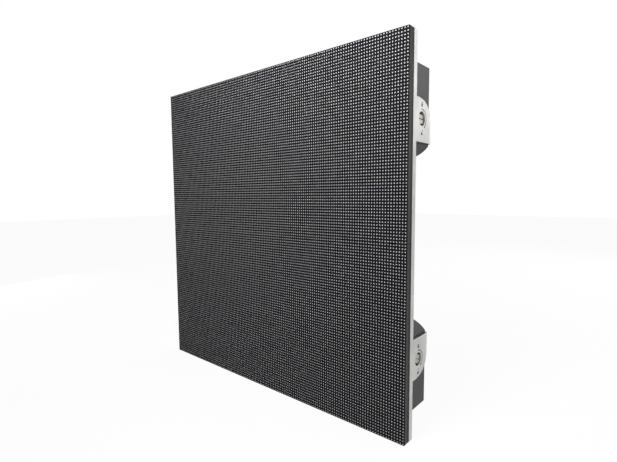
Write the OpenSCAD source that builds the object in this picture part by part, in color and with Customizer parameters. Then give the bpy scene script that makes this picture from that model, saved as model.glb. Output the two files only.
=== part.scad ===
/* [Tile] */
// Width of the lit face
tile_w = 500; // [480:10:640]
// Height of the lit face
tile_h = 500; // [480:10:640]
// Depth from the lit face to the back of the corner lugs
tile_d = 61.5; // [60:0.5:66]
// Gap between neighbouring modules
module_gap = 0.4; // [0.2:0.1:1]

/* [Modules] */
// Distance between two lamps
pitch = 3.90625; // [3.5:0.1:4]
// Thickness of the mask in front of the board
mask_t = 2; // [1.5:0.1:3]
// Depth at which the skirt round the mask ends
skirt_d = 7.5; // [6:0.5:9]
// Wall of the skirt
skirt_wall = 1.5; // [1:0.1:2]
// Thickness of the lamp board
board_t = 1.6; // [1.2:0.2:2]
// Depth of a whole module
module_d = 12.5; // [11.5:0.5:14]
// Width of the ring round the module base
base_rim_w = 6.5; // [5:0.5:8]
// Width of the cross bars of the module base
base_bar_w = 8; // [6:0.5:12]
// Spacing of the cross bars of the module base
base_bar_step = 75; // [70:1:78]
// Height of the driver chips
chip_t = 1.2; // [0.8:0.1:1.5]
// Spacing of the driver chips across a module
chip_step_x = 26; // [24:1:28]
// Spacing of the driver chips up a module
chip_step_z = 50; // [46:1:56]
// Lamps from the side edge to the access holes
access_col = 4; // [3:1:5]
// Lamps from the top or bottom edge to the access holes
access_row = 8; // [8:1:9]
// Diameter of the access holes
access_bore = 1.9; // [1.6:0.1:2]

/* [Fasteners] */
// Shank of the screws that hold the modules
lock_screw_r = 2; // [1.5:0.1:2.2]
// Head of the screws that hold the modules
lock_head_r = 3.3; // [3:0.1:3.8]
// Height of the head of those screws
lock_head_t = 3.5; // [2.5:0.1:4]
// Shank of the small screws inside the modules
mask_screw_r = 0.9; // [0.7:0.1:1]
// Clearance round a screw in a through hole
screw_clear = 0.15; // [0.1:0.05:0.3]

/* [Frame] */
// Depth at which the machined rim ends
rim_end = 20.5; // [19:0.5:22]
// Width of the machined rim
rim_w = 8; // [6:0.5:10]
// Thickness of the cast web
web_t = 4; // [3:0.5:5]
// Width of the flange round the windows
flange_w = 28; // [24:1:30]
// Half width of the upright spine
spine_half = 80; // [78:1:90]
// Half height of the cross bar
bar_half = 38; // [36:1:44]
// Radius of the window corners
window_r = 12; // [8:1:20]
// Height of the ribs round the windows above the web
rib_h = 7; // [4:0.5:8]
// Thickness of the ribs
rib_t = 3; // [2.5:0.5:4]
// Radius of the bosses for the module screws
boss_r = 5.5; // [5:0.5:6]

/* [Corner housings] */
// Side of the square notch at each corner of the tile
notch = 34.5; // [33.5:0.5:36]
// How far the painted side lies inside the machined lug
side_inset = 3; // [2:0.5:4]
// Width of each arm of a housing
arm_w = 62; // [60:1:66]
// Radius of the round end of an arm
arm_end_r = 36.5; // [35:0.5:40]
// Distance from the edge of the tile to the middle of the round end
arm_end_a = 31; // [30:0.5:33]
// Distance from the corner edge to the middle of the round end
arm_end_b = 107.5; // [106:0.5:112]
// Wall of the housings
housing_wall = 3; // [2.5:0.25:4]
// How far the painted back lies inside the back of the lugs
back_inset = 0.25; // [0:0.25:1]
// Rounding of the back edges
back_round = 1.5; // [1:0.25:4]
// Radius inside the elbow of the two arms
elbow_r = 16; // [12:1:20]
// Radius in the corner of the notch
notch_r = 6; // [3:0.5:10]

/* [Lugs and latches] */
// Distance from the corner edge to the middle of a latch
latch_b = 100; // [99:0.5:101]
// Depth of the middle of a latch
latch_d = 35; // [34:0.5:37]
// Distance from the corner edge to the start of a lug
lug_start = 75.5; // [75:0.5:77]
// Length of a lug along the edge
lug_len = 53; // [51:0.5:54]
// Broken edge at both ends of a lug
edge_break = 0.8; // [0.4:0.1:1.2]
// Thickness of a lug
lug_t = 9; // [8:0.5:10]
// Radius of the rounded corner of a lug
lug_corner_r = 30; // [28:1:34]
// Width of the bevel along the back edge of a lug
bevel_w = 5.5; // [4:0.5:7]
// Depth of that bevel
bevel_t = 1.2; // [0.8:0.1:2]
// Diameter of the latch recess
recess_bore = 17.5; // [17:0.5:18]
// Depth of the latch recess
recess_t = 7; // [6.5:0.25:7.5]
// Gap round the latch head
head_clear = 0.5; // [0.3:0.05:0.6]
// Width across the flats of the latch head
head_flats = 11; // [10:0.5:12]
// Height of the latch head
head_t = 4.6; // [4:0.1:5]
// How far the head lies below the lug face
head_sink = 1.8; // [1.5:0.1:2.2]
// Width of the driver slot in the head
slot_w = 1.4; // [1:0.1:2]
// Depth of the driver slot
slot_t = 1.2; // [0.8:0.1:1.6]
// Radius of the latch spindle
spindle_r = 5; // [4.5:0.25:5.5]
// Running clearance of the spindle in its bush
spindle_clear = 0.05; // [0.02:0.01:0.1]
// Wall of the bush
bush_wall = 2; // [1.5:0.25:2.5]
// Length of the boss that holds the bush, inside the lug
latch_boss_len = 15; // [13:0.5:16]
// Wall of that boss
latch_boss_wall = 5; // [4:0.5:6]
// Radius of the thumb wheel
wheel_r = 21; // [19:0.5:21.5]
// Width of the thumb wheel
wheel_w = 13; // [11:0.5:14]
// Gap between the thumb wheel and the bush
wheel_gap = 0.3; // [0.2:0.05:0.5]
// Number of grip notches round the thumb wheel
wheel_notches = 18; // [12:1:24]
// Length of the window over the thumb wheel
wheel_window = 34; // [30:1:40]
// Turn of the lower side latch away from the others
lower_latch_turn = 20; // [0:5:45]
// Radius of a keeper plate
keeper_r = 15; // [14:0.5:16]
// Thickness of a keeper plate
keeper_t = 4; // [3:0.5:5]

/* [Power box] */
// Half width of the box
box_half_w = 74; // [72:1:76]
// Half height of the box
box_half_h = 122; // [118:1:126]
// Wall of the box
box_wall = 2.5; // [2:0.25:3]
// Radius of the box corners
box_r = 8; // [7:0.5:10]
// Depth at which the cover starts
cover_d = 55; // [54:0.5:56]
// Thickness of the cover
cover_t = 2; // [1.5:0.25:2.5]
// Thickness of the seal below the cover
seal_t = 1; // [0.6:0.1:1.4]
// Distance from the centre line to the outer sockets
power_x = 50; // [48:0.5:52]
// Distance from the centre line to the inner sockets
data_x = 17; // [15:0.5:18]
// Width of a socket flange
socket_w = 26; // [25:0.5:27]
// Height of a socket flange
socket_h = 31; // [30:0.5:31]
// Depth of the middle of the sockets
socket_d = 37; // [36:0.5:38]
// Radius of a socket barrel
barrel_r = 11.8; // [11:0.1:12]
// Travel of the test button
button_travel = 1; // [0.5:0.1:1]
// Radius of the test button
button_r = 4; // [3:0.25:4.5]

/* [Handle] */
// Distance from the middle of the tile up to the handle
handle_v = 185; // [175:1:195]
// Distance from the centre line to the handle posts
handle_x = 58; // [54:1:60]
// Radius of the handle bar
handle_r = 8; // [7:0.25:8.5]
// Depth of the middle of the grip
handle_d = 48; // [46:0.5:48]
// Bend radius of the handle
handle_bend = 14; // [12:0.5:16]
// Thickness of the rubber grip
grip_t = 1.5; // [1:0.25:2]

/* [Hidden] */
$fn = 48;
eps = 0.01;
over = 1;
web_end = module_d + web_t;
board_back = mask_t + board_t;
back_d = tile_d - back_inset;
module_w = tile_w / 2 - module_gap;
module_h = tile_h / 2 - module_gap;
access_x = tile_w / 4 - access_col * pitch;
access_z = tile_h / 4 - access_row * pitch;
inner_gap = 0.1;
seat_d = board_back + lock_head_t + 1;
lock_short = 0.4;
lock_key_r = 1.25;
post_r = 1.5;
post_end = board_back + chip_t + 0.2;
mask_head_r = 2.4;
mask_head_t = 1.6;
groove_w = 0.35;
groove_t = 0.3;
groove_step = 16 * pitch;
bush_r = spindle_r + spindle_clear + bush_wall;
boss_end = lug_t + latch_boss_len;
wheel_a = boss_end + wheel_gap;
wheel_end = wheel_a + wheel_w;
head_r = recess_bore / 2 - head_clear;
end_screw_r = 2.5;
end_head_r = 6;
end_head_t = 3;
keeper_screw_r = 1.5;
keeper_screw_at = (recess_bore / 2 + keeper_r) / 2;
header_w = 12;
header_h = 34;
header_x = tile_w / 4 - 4 * chip_step_x;
first_window_z = tile_h / 4 - base_bar_step / 2;
header_z = first_window_z + header_h / 2 > box_half_h - 12 ? first_window_z - base_bar_step : first_window_z;
header_end = web_end + box_wall;
hub_t = 1.6;
hub_back = header_end + hub_t;
hub_half_w = 60;
hub_half_h = 107;
box_screw_x = box_half_w - 7;
box_screw_z = box_half_h - 17;
cover_end = cover_d + cover_t;
cover_screw_r = 1.5;
cover_head_r = 2.7;
cover_head_t = 1.4;
cover_screw_len = 12;
box_post_r = 5;
box_screw_sink = 0.5;
socket_screw = [9.5, 12];
supply_seat = 12;
supply_mouth = 8;
spacer_r = 3;
supply_gap = 4;
supply_x = [-62, 20];
supply_z = [-68, 106];
supply_end = 51;
receiver_x = [26, 60];
receiver_z = [-70, 92];
receiver_d = hub_back + 6;
barrel_len = 20;
socket_wall = 2;
core_end = 15;
socket_t = 2;
button_x = 52;
button_z = -92;
lens_x = 38;
led_board_d = 49;
led_board_t = 1.6;
button_end = cover_end + 1.3;
button_low = led_board_d + led_board_t + button_travel + 0.2;
button_flange_r = button_r + 1.2;
button_clear = 0.15;
lens_r = 3;
vent_count = 10;
vent_step = 7;
vent_len = 72;
vent_w = 2.4;
vent_z = 20;
foot_w = 26;
foot_h = 44;
foot_t = 4;
foot_screw_z = 15;
foot_screw_r = 2.5;
foot_head_r = 4;
foot_head_t = 2.6;
sides = [-1, 1];
corners = [[-1, -1], [-1, 1], [1, -1], [1, 1]];
bolt_lugs = [[1, 1, true], [1, -1, true], [-1, 1, false], [1, 1, false]];
keeper_lugs = [[-1, 1, true], [-1, -1, true], [-1, -1, false], [1, -1, false]];

// Moves a piece drawn about the middle of the lit face to the frame of the tile
module placed() {
    translate([0, -tile_d / 2, tile_h / 2]) children();
}

// Extrudes an outline seen from the front between two depths
module slab(front, back) {
    translate([0, back, 0]) rotate([90, 0, 0]) linear_extrude(back - front) children();
}

// Cylinder along the depth at a place on the front view
module depth_pin(x, z, r, front, back) {
    translate([x, back, z]) rotate([90, 0, 0]) cylinder(r = r, h = back - front);
}

// Cylinder that runs inward from a lug face
module lug_pin(r, start, end) {
    translate([start, latch_d, latch_b]) rotate([0, 90, 0]) cylinder(r = r, h = end - start);
}

// Rectangle with round corners about the origin
module round_rect(w, h, r) {
    square([w - 2 * r, h], center = true);
    square([w, h - 2 * r], center = true);
    for (x = sides, z = sides) translate([x * (w / 2 - r), z * (h / 2 - r)]) circle(r);
}

// Slot with round ends about the origin
module slot_outline(len, w) {
    square([len - w, w], center = true);
    for (x = sides) translate([x * (len - w) / 2, 0]) circle(w / 2);
}

// Block between two corners of the front view and two depths
module block(x, z, d) {
    translate([x[0], d[0], z[0]]) cube([x[1] - x[0], d[1] - d[0], z[1] - z[0]]);
}

// Places a child drawn inward from the edges of a corner: first from the side, then from the top or bottom
module at_corner(sx, sz) {
    translate([sx * tile_w / 2, 0, sz * tile_h / 2])
        mirror([sx > 0 ? 1 : 0, 0, 0])
        mirror([0, 0, sz > 0 ? 1 : 0])
        children();
}

// The same for a lug on the side of the tile, or with the two directions exchanged on its top or bottom
module at_lug(sx, sz, on_side) {
    at_corner(sx, sz) mirror(on_side ? [0, 0, 0] : [1, 0, -1]) children();
}

// Places a child drawn about the middle of a module
module at_module(sx, sz) {
    translate([sx * tile_w / 4, 0, sz * tile_h / 4]) children();
}

// One arm of a corner housing, smaller than the true outline by inset
module arm_outline(inset) {
    low = side_inset + inset;
    wide = arm_w - side_inset - 2 * inset;
    translate([low, notch + inset]) square([wide, arm_end_b - notch - inset]);
    intersection() {
        translate([arm_end_a, arm_end_b]) circle(arm_end_r - inset, $fn = 96);
        translate([low, arm_end_b - over]) square([wide, arm_end_r + over]);
    }
}

// Both arms of a housing with the fillet in their elbow
module housing_outline(inset) {
    corner = arm_w - inset;
    fillet = elbow_r + inset;
    notch_mid = notch - notch_r;
    arm_outline(inset);
    mirror([1, -1]) arm_outline(inset);
    difference() {
        translate([notch_mid, notch_mid]) square(notch_r + inset + over);
        translate([notch_mid, notch_mid]) circle(notch_r + inset);
    }
    difference() {
        translate([corner - over, corner - over]) square(fillet + over);
        translate([corner + fillet, corner + fillet]) circle(fillet);
    }
}

// Section that rounds an edge: the face lies on the second axis and the back on the first
module round_cut() {
    difference() {
        translate([-over, -over]) square(back_round + over);
        translate([back_round, back_round]) circle(back_round);
    }
}

// Rounds a straight back edge that runs away from the corner
module straight_cut(face, inward, from, to) {
    translate([face, back_d, from]) mirror([0, 1, 0]) mirror([inward > 0 ? 0 : 1, 0, 0])
        linear_extrude(to - from) round_cut();
}

// Rounds the back edges of one arm
module arm_cuts() {
    straight_end = arm_end_b + sqrt(pow(arm_end_r, 2) - pow(arm_end_a - side_inset, 2));
    straight_cut(side_inset, 1, notch - over, straight_end + over);
    straight_cut(arm_w, -1, arm_w + elbow_r, straight_end + over);
    mirror([1, 0, -1]) straight_cut(notch, 1, side_inset - over, notch - notch_r);
    translate([arm_end_a, back_d, arm_end_b]) rotate([90, 0, 0])
        rotate_extrude(angle = 180, $fn = 96) translate([arm_end_r, 0]) mirror([1, 0]) round_cut();
}

// Rounds the back edges at the notch and in the elbow, which turn the other way
module corner_cuts() {
    translate([notch - notch_r, back_d, notch - notch_r]) rotate([90, 0, 0])
        rotate_extrude(angle = 90) translate([notch_r, 0]) round_cut();
    translate([arm_w + elbow_r, back_d, arm_w + elbow_r]) rotate([90, 0, 0]) rotate([0, 0, 180])
        rotate_extrude(angle = 90) translate([elbow_r, 0]) round_cut();
}

// Solid shape of one corner housing
module housing_body() {
    difference() {
        slab(module_d, back_d) housing_outline(0);
        arm_cuts();
        mirror([1, 0, -1]) arm_cuts();
        corner_cuts();
    }
}

// Side view of a lug, with depth along the first axis
module lug_outline() {
    rear = tile_d - lug_corner_r;
    translate([module_d, lug_start]) square([rear - module_d, lug_len]);
    translate([module_d, lug_start + lug_corner_r]) square([tile_d - module_d, lug_len - lug_corner_r]);
    translate([rear, lug_start + lug_corner_r]) intersection() {
        circle(lug_corner_r, $fn = 96);
        translate([0, -lug_corner_r]) square(lug_corner_r);
    }
}

// Cut that breaks the edge of a lug at its square end
module square_end_cut() {
    last = lug_start + lug_len;
    translate([0, tile_d + over, 0]) rotate([90, 0, 0]) linear_extrude(tile_d + over - rim_end) polygon([
        [-over, last - edge_break - over],
        [edge_break + over, last + over],
        [-over, last + over]
    ]);
}

// Cut that breaks the edge of a lug round its rounded corner
module round_end_cut() {
    translate([0, tile_d - lug_corner_r, lug_start + lug_corner_r]) rotate([0, 90, 0])
        rotate_extrude(angle = 90, $fn = 96) polygon([
            [lug_corner_r - edge_break - over, -over],
            [lug_corner_r + over, -over],
            [lug_corner_r + over, edge_break + over]
        ]);
}

// Machined lug with its bevelled back edge
module lug() {
    difference() {
        rotate([90, 0, 90]) linear_extrude(lug_t) lug_outline();
        translate([0, 0, lug_start - over]) linear_extrude(lug_len + 2 * over) polygon([
            [-over, tile_d - bevel_w],
            [0, tile_d - bevel_w],
            [bevel_t, tile_d + over],
            [-over, tile_d + over]
        ]);
        square_end_cut();
        round_end_cut();
    }
}

// Outline of one window in the web, larger by grow
module window_outline(grow) {
    w = tile_w / 2 - flange_w - spine_half;
    h = tile_h / 2 - flange_w - bar_half;
    translate([spine_half + w / 2, bar_half + h / 2]) round_rect(w + 2 * grow, h + 2 * grow, window_r + grow);
}

// Place of one module screw on the front view
function access_at(c, x, z) = [c[0] * tile_w / 4 + x * access_x, c[1] * tile_h / 4 + z * access_z];

// Depth at which the boss of a module screw ends: those below the power box stay flush with the web
function boss_top(c, x, z) =
    abs(access_at(c, x, z)[0]) < box_half_w && abs(access_at(c, x, z)[1]) < box_half_h ? web_end : rim_end;

// Places of the screws that hold the modules
module at_access(sx, sz) {
    at_module(sx, sz) for (x = sides, z = sides) translate([x * access_x, 0, z * access_z]) children();
}

// Places of the nine posts between the mask and the base of a module
module at_posts() {
    for (x = [-1:1], z = [-1:1]) translate([x * base_bar_step, 0, z * base_bar_step]) children();
}

// Places of the four screws that hold the box
module at_box_screws() {
    for (x = sides, z = sides) translate([x * box_screw_x, 0, z * box_screw_z]) children();
}

// Places of the cover screws: four at the corners, and two half way up unless only the corners are asked for
module at_cover_screws(rows) {
    for (x = sides, z = rows)
        translate([x * (box_half_w - box_post_r), 0, z * (box_half_h - box_post_r)]) children();
}

// Places of the four screws of the handle
module at_foot_screws() {
    for (x = sides, z = sides) translate([x * handle_x, 0, handle_v + z * foot_screw_z]) children();
}

// Flat parts of the casting: rim, web and ribs
module frame_plate() {
    slab(module_d, rim_end) difference() {
        square([tile_w, tile_h], center = true);
        square([tile_w - 2 * rim_w, tile_h - 2 * rim_w], center = true);
    }
    slab(module_d, web_end) difference() {
        square([tile_w, tile_h], center = true);
        for (x = sides, z = sides) mirror([x < 0 ? 1 : 0, 0]) mirror([0, z < 0 ? 1 : 0]) window_outline(0);
    }
    slab(module_d, web_end + rib_h) for (x = sides, z = sides)
        mirror([x < 0 ? 1 : 0, 0]) mirror([0, z < 0 ? 1 : 0]) difference() {
            window_outline(rib_t);
            window_outline(0);
        }
    for (c = corners, x = sides, z = sides)
        depth_pin(access_at(c, x, z)[0], access_at(c, x, z)[1], boss_r, module_d, boss_top(c, x, z));
}

// Hollow under the back of each housing, open to the front
module housing_hollow() {
    slab(module_d - over, back_d - housing_wall) housing_outline(housing_wall);
}

// Holes through the spine for the plugs of the modules
module header_slots(front, back) {
    slot_gap = 2;
    for (x = sides, z = sides)
        block([x * header_x - header_w / 2 - slot_gap, x * header_x + header_w / 2 + slot_gap],
            [z * header_z - header_h / 2 - slot_gap, z * header_z + header_h / 2 + slot_gap], [front, back]);
}

// Die-cast frame with its four corner housings and eight machined lugs
module frame() {
    color([0.36, 0.36, 0.34]) placed() difference() {
        union() {
            difference() {
                union() {
                    frame_plate();
                    for (c = corners) at_corner(c[0], c[1]) housing_body();
                }
                for (c = corners) at_corner(c[0], c[1]) housing_hollow();
            }
            for (c = corners, on_side = [true, false]) at_lug(c[0], c[1], on_side) lug();
            for (l = bolt_lugs) at_lug(l[0], l[1], l[2]) lug_pin(bush_r + latch_boss_wall, lug_t, boss_end);
        }
        for (l = bolt_lugs) at_lug(l[0], l[1], l[2]) {
            lug_pin(recess_bore / 2, -over, recess_t);
            lug_pin(bush_r, recess_t - eps, boss_end + over);
            wheel_window_cut();
        }
        for (l = keeper_lugs) at_lug(l[0], l[1], l[2]) {
            lug_pin(recess_bore / 2, -over, lug_t + over);
            for (s = sides) translate([0, 0, s * keeper_screw_at])
                lug_pin(keeper_screw_r, lug_t / 2, lug_t + over);
        }
        for (c = corners) at_access(c[0], c[1])
            depth_pin(0, 0, lock_screw_r, module_d - over, rim_end + over);
        header_slots(module_d - over, web_end + over);
        at_box_screws() depth_pin(0, 0, foot_screw_r, module_d + over, web_end + over);
        at_foot_screws() depth_pin(0, 0, foot_screw_r, module_d + over, web_end + over);
    }
}

// Slot in the back of a housing where a finger turns the wheel
module wheel_window_cut() {
    side_gap = 1.5;
    half = wheel_window / 2;
    translate([0, back_d - housing_wall - over, latch_b]) {
        translate([wheel_a - side_gap, 0, -half])
            cube([wheel_w + 2 * side_gap, housing_wall + 2 * over, 2 * half]);
    }
}

// Front mask of a module with the skirt behind it and the posts for its screws
module mask(sx, sz) {
    color([0.10, 0.10, 0.10]) placed() at_module(sx, sz) difference() {
        union() {
            slab(0, mask_t) square([module_w, module_h], center = true);
            slab(mask_t - eps, skirt_d) difference() {
                square([module_w, module_h], center = true);
                square([module_w - 2 * skirt_wall, module_h - 2 * skirt_wall], center = true);
            }
            for (x = [-1:1], z = [-1:1])
                depth_pin(x * base_bar_step, z * base_bar_step, post_r, mask_t - eps, post_end);
        }
        for (x = sides, z = sides)
            depth_pin(x * access_x, z * access_z, access_bore / 2, -over, mask_t + over);
        for (i = [-1:1]) {
            slab(-over, groove_t) translate([i * groove_step, 0])
                square([groove_w, module_h + over], center = true);
            slab(-over, groove_t) translate([0, i * groove_step])
                square([module_w + over, groove_w], center = true);
        }
        at_posts() depth_pin(0, 0, mask_screw_r, mask_t, post_end + over);
    }
}

// Board that carries the lamps, with the driver chips on its back
module lamp_board(sx, sz) {
    edge = skirt_wall + inner_gap;
    color([0.05, 0.22, 0.14]) placed() at_module(sx, sz) {
        difference() {
            slab(mask_t, board_back) square([module_w - 2 * edge, module_h - 2 * edge], center = true);
            for (x = sides, z = sides)
                depth_pin(x * access_x, z * access_z, access_bore / 2, mask_t - over, board_back + over);
            at_posts() depth_pin(0, 0, post_r + inner_gap, mask_t - over, board_back + over);
        }
        for (i = [0:7], j = [0:3]) translate([(i - 3.5) * chip_step_x, 0, (j - 1.5) * chip_step_z])
            block([-3.5, 3.5], [-6, 6], [board_back, board_back + chip_t]);
    }
}

// Plastic base that closes the back of a module
module module_base(sx, sz) {
    edge = skirt_wall + inner_gap;
    inner_w = module_w - 2 * base_rim_w;
    inner_h = module_h - 2 * base_rim_w;
    bar_front = post_end;
    color([0.16, 0.17, 0.13]) placed() difference() {
        at_module(sx, sz) {
            slab(board_back, module_d) difference() {
                square([module_w - 2 * edge, module_h - 2 * edge], center = true);
                square([inner_w, inner_h], center = true);
            }
            slab(skirt_d, module_d) difference() {
                square([module_w, module_h], center = true);
                square([inner_w, inner_h], center = true);
            }
            slab(bar_front, module_d) for (i = [-1:1]) {
                translate([i * base_bar_step, 0]) square([base_bar_w, inner_h + over], center = true);
                translate([0, i * base_bar_step]) square([inner_w + over, base_bar_w], center = true);
            }
            for (x = sides, z = sides) translate([x * access_x, 0, z * access_z]) {
                depth_pin(0, 0, lock_head_r + 2.5, board_back, module_d);
                block([0, x * (tile_w / 4 - access_x - base_rim_w + over)], [-2.5, 2.5],
                    [bar_front, module_d]);
            }
        }
        at_access(sx, sz) {
            depth_pin(0, 0, lock_head_r + screw_clear, board_back - over, seat_d);
            depth_pin(0, 0, lock_screw_r + screw_clear, seat_d - over, module_d + over);
        }
        at_module(sx, sz) at_posts() {
            depth_pin(0, 0, mask_screw_r + screw_clear, bar_front - over, module_d);
            depth_pin(0, 0, mask_head_r + screw_clear, module_d - mask_head_t, module_d + over);
        }
    }
}

// Sixteen captive screws that hold the modules to the frame
module module_screws() {
    socket_t = 2;
    color([0.75, 0.75, 0.76]) placed() for (c = corners, x = sides, z = sides)
        translate([access_at(c, x, z)[0], 0, access_at(c, x, z)[1]]) difference() {
            union() {
                depth_pin(0, 0, lock_head_r, seat_d - lock_head_t, seat_d);
                depth_pin(0, 0, lock_screw_r, seat_d - eps, boss_top(c, x, z) - lock_short);
            }
            translate([0, seat_d - lock_head_t + socket_t, 0]) rotate([90, 0, 0])
                cylinder(r = lock_key_r, h = socket_t + over, $fn = 6);
        }
}

// Small screws that pull each base onto its mask
module mask_screws() {
    color([0.2, 0.2, 0.2]) placed() for (c = corners) at_module(c[0], c[1]) at_posts() {
        depth_pin(0, 0, mask_head_r, module_d - mask_head_t, module_d);
        depth_pin(0, 0, mask_screw_r, mask_t + 0.5, module_d - mask_head_t + eps);
    }
}

// Plugs that join the modules to the hub board
module module_headers() {
    color([0.08, 0.08, 0.09]) placed() for (x = sides, z = sides)
        block([x * header_x - header_w / 2, x * header_x + header_w / 2],
            [z * header_z - header_h / 2, z * header_z + header_h / 2], [board_back, header_end]);
}

// Latch with a two-flat head below the lug face and a spindle through the bush
module latch(turn) {
    translate([0, latch_d, latch_b]) rotate([-turn, 0, 0]) translate([0, -latch_d, -latch_b]) difference() {
        union() {
            intersection() {
                lug_pin(head_r, head_sink, head_sink + head_t);
                translate([0, latch_d - head_r, latch_b - head_flats / 2])
                    cube([recess_t, 2 * head_r, head_flats]);
            }
            lug_pin(spindle_r, head_sink + head_t - eps, wheel_end);
        }
        translate([-over, latch_d - head_r - over, latch_b - slot_w / 2])
            cube([head_sink + slot_t + over, 2 * head_r + 2 * over, slot_w]);
        lug_pin(end_screw_r, wheel_end - 12, wheel_end + over);
    }
}

// Thumb wheel with grip notches, on the inner end of a spindle
module wheel() {
    notch_r = 1.6;
    difference() {
        lug_pin(wheel_r, wheel_a, wheel_end);
        lug_pin(spindle_r, wheel_a - over, wheel_end + over);
        for (i = [0 : wheel_notches - 1]) translate([0, latch_d, latch_b])
            rotate([360 * i / wheel_notches, 0, 0]) translate([0, -latch_d, wheel_r - latch_b])
            lug_pin(notch_r, wheel_a - over, wheel_end + over);
        translate([wheel_end - 3, latch_d, latch_b]) rotate([0, 90, 0]) difference() {
            cylinder(r = wheel_r - 5, h = 3 + over);
            translate([0, 0, -over]) cylinder(r = end_head_r + 2, h = 5 + over);
        }
    }
}

// Screw that keeps a wheel on its spindle
module wheel_screw() {
    difference() {
        union() {
            lug_pin(end_head_r, wheel_end, wheel_end + end_head_t);
            lug_pin(end_screw_r, wheel_end - 11, wheel_end + eps);
        }
        translate([wheel_end + 1, latch_d, latch_b]) rotate([0, 90, 0]) cylinder(r = 2.3, h = 3, $fn = 6);
    }
}

// Latch number i of bolt_lugs, turned by that many degrees
module latch_at(i, turn) {
    color([0.72, 0.69, 0.64]) placed() at_lug(bolt_lugs[i][0], bolt_lugs[i][1], bolt_lugs[i][2]) latch(turn);
}

// Thumb wheel of latch number i
module wheel_at(i) {
    color([0.12, 0.12, 0.12]) placed() at_lug(bolt_lugs[i][0], bolt_lugs[i][1], bolt_lugs[i][2]) wheel();
}

module wheel_screw_at(i) {
    color([0.7, 0.7, 0.7]) placed() at_lug(bolt_lugs[i][0], bolt_lugs[i][1], bolt_lugs[i][2]) wheel_screw();
}

// Sleeves in which the spindles turn
module latch_bushes() {
    color([0.66, 0.5, 0.25]) placed() for (l = bolt_lugs) at_lug(l[0], l[1], l[2]) difference() {
        lug_pin(bush_r, recess_t, boss_end);
        lug_pin(spindle_r + spindle_clear, recess_t - over, boss_end + over);
    }
}

// Steel plates that take the latch heads of a neighbouring tile
module latch_keepers() {
    color([0.6, 0.6, 0.62]) placed() for (l = keeper_lugs) at_lug(l[0], l[1], l[2]) difference() {
        lug_pin(keeper_r, lug_t, lug_t + keeper_t);
        intersection() {
            lug_pin(recess_bore / 2, lug_t - over, lug_t + keeper_t + over);
            translate([lug_t - 2 * over, latch_d - recess_bore / 2, latch_b - head_flats / 2 - head_clear])
                cube([keeper_t + 4 * over, recess_bore, head_flats + 2 * head_clear]);
        }
        for (s = sides) translate([0, 0, s * keeper_screw_at])
            lug_pin(keeper_screw_r + screw_clear, lug_t - over, lug_t + keeper_t + over);
    }
}

// Screws of the keeper plates
module keeper_screws() {
    head_t = 1.8;
    color([0.7, 0.7, 0.7]) placed() for (l = keeper_lugs) at_lug(l[0], l[1], l[2])
        for (s = sides) translate([0, 0, s * keeper_screw_at]) {
            lug_pin(2.4, lug_t + keeper_t, lug_t + keeper_t + head_t);
            lug_pin(keeper_screw_r, lug_t / 2 + 0.5, lug_t + keeper_t + eps);
        }
}

// Housing of the power and data box, open to the back
module power_box() {
    color([0.2, 0.2, 0.2]) placed() difference() {
        union() {
            slab(web_end, cover_d - seal_t) difference() {
                round_rect(2 * box_half_w, 2 * box_half_h, box_r);
                round_rect(2 * (box_half_w - box_wall), 2 * (box_half_h - box_wall), box_r - box_wall);
            }
            slab(web_end, header_end - box_screw_sink) round_rect(2 * box_half_w, 2 * box_half_h, box_r);
            for (x = sides, z = sides) {
                depth_pin(x * (hub_half_w - 6), z * (hub_half_h - 6), 4, web_end, header_end);
            }
            intersection() {
                at_cover_screws(sides) depth_pin(0, 0, box_post_r, web_end, cover_d - seal_t);
                slab(web_end, cover_d) round_rect(2 * box_half_w, 2 * box_half_h, box_r);
            }
            at_cover_screws([0]) depth_pin(0, 0, box_post_r - box_wall + 1, web_end, cover_d - seal_t);
        }
        header_slots(web_end - over, header_end + over);
        at_box_screws() depth_pin(0, 0, foot_screw_r + screw_clear, web_end - over, header_end + over);
        at_cover_screws([-1:1]) depth_pin(0, 0, cover_screw_r, cover_d - cover_screw_len, cover_d + over);
        for (x = [-power_x, -data_x, data_x, power_x]) translate([x, socket_d, -box_half_h - over])
            cylinder(r = barrel_r + 0.1, h = box_wall + 2 * over);
    }
}

// Cover of the box with vent slots and two posts for the indicator board
module box_cover() {
    color([0.24, 0.24, 0.24]) placed() difference() {
        union() {
            slab(cover_d, cover_end) round_rect(2 * box_half_w, 2 * box_half_h, box_r);
            for (x = [lens_x - 8, button_x + 8])
                depth_pin(x, button_z, 2.5, led_board_d + led_board_t, cover_d + eps);
        }
        at_cover_screws([-1:1])
            depth_pin(0, 0, cover_screw_r + screw_clear, cover_d - over, cover_end + over);
        depth_pin(button_x, button_z, button_r + button_clear, cover_d - over, cover_end + over);
        depth_pin(lens_x, button_z, lens_r, cover_d - over, cover_end + over);
        for (i = [0 : vent_count - 1]) slab(cover_d - over, cover_end + over)
            translate([0, vent_z + i * vent_step]) slot_outline(vent_len, vent_w);
    }
}

// Seal between the box and its cover
module cover_seal() {
    color([0.05, 0.05, 0.05]) placed() difference() {
        slab(cover_d - seal_t, cover_d) difference() {
            round_rect(2 * box_half_w, 2 * box_half_h, box_r);
            round_rect(2 * (box_half_w - box_wall), 2 * (box_half_h - box_wall), box_r - box_wall);
        }
        at_cover_screws(sides)
            depth_pin(0, 0, cover_screw_r + screw_clear, cover_d - over - seal_t, cover_d + over);
    }
}

// Screws that hold the box to the spine
module box_screws() {
    seat = header_end - box_screw_sink;
    color([0.7, 0.7, 0.7]) placed() at_box_screws() {
        depth_pin(0, 0, foot_head_r, seat, seat + foot_head_t);
        depth_pin(0, 0, foot_screw_r, module_d + over, seat + eps);
    }
}

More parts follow.
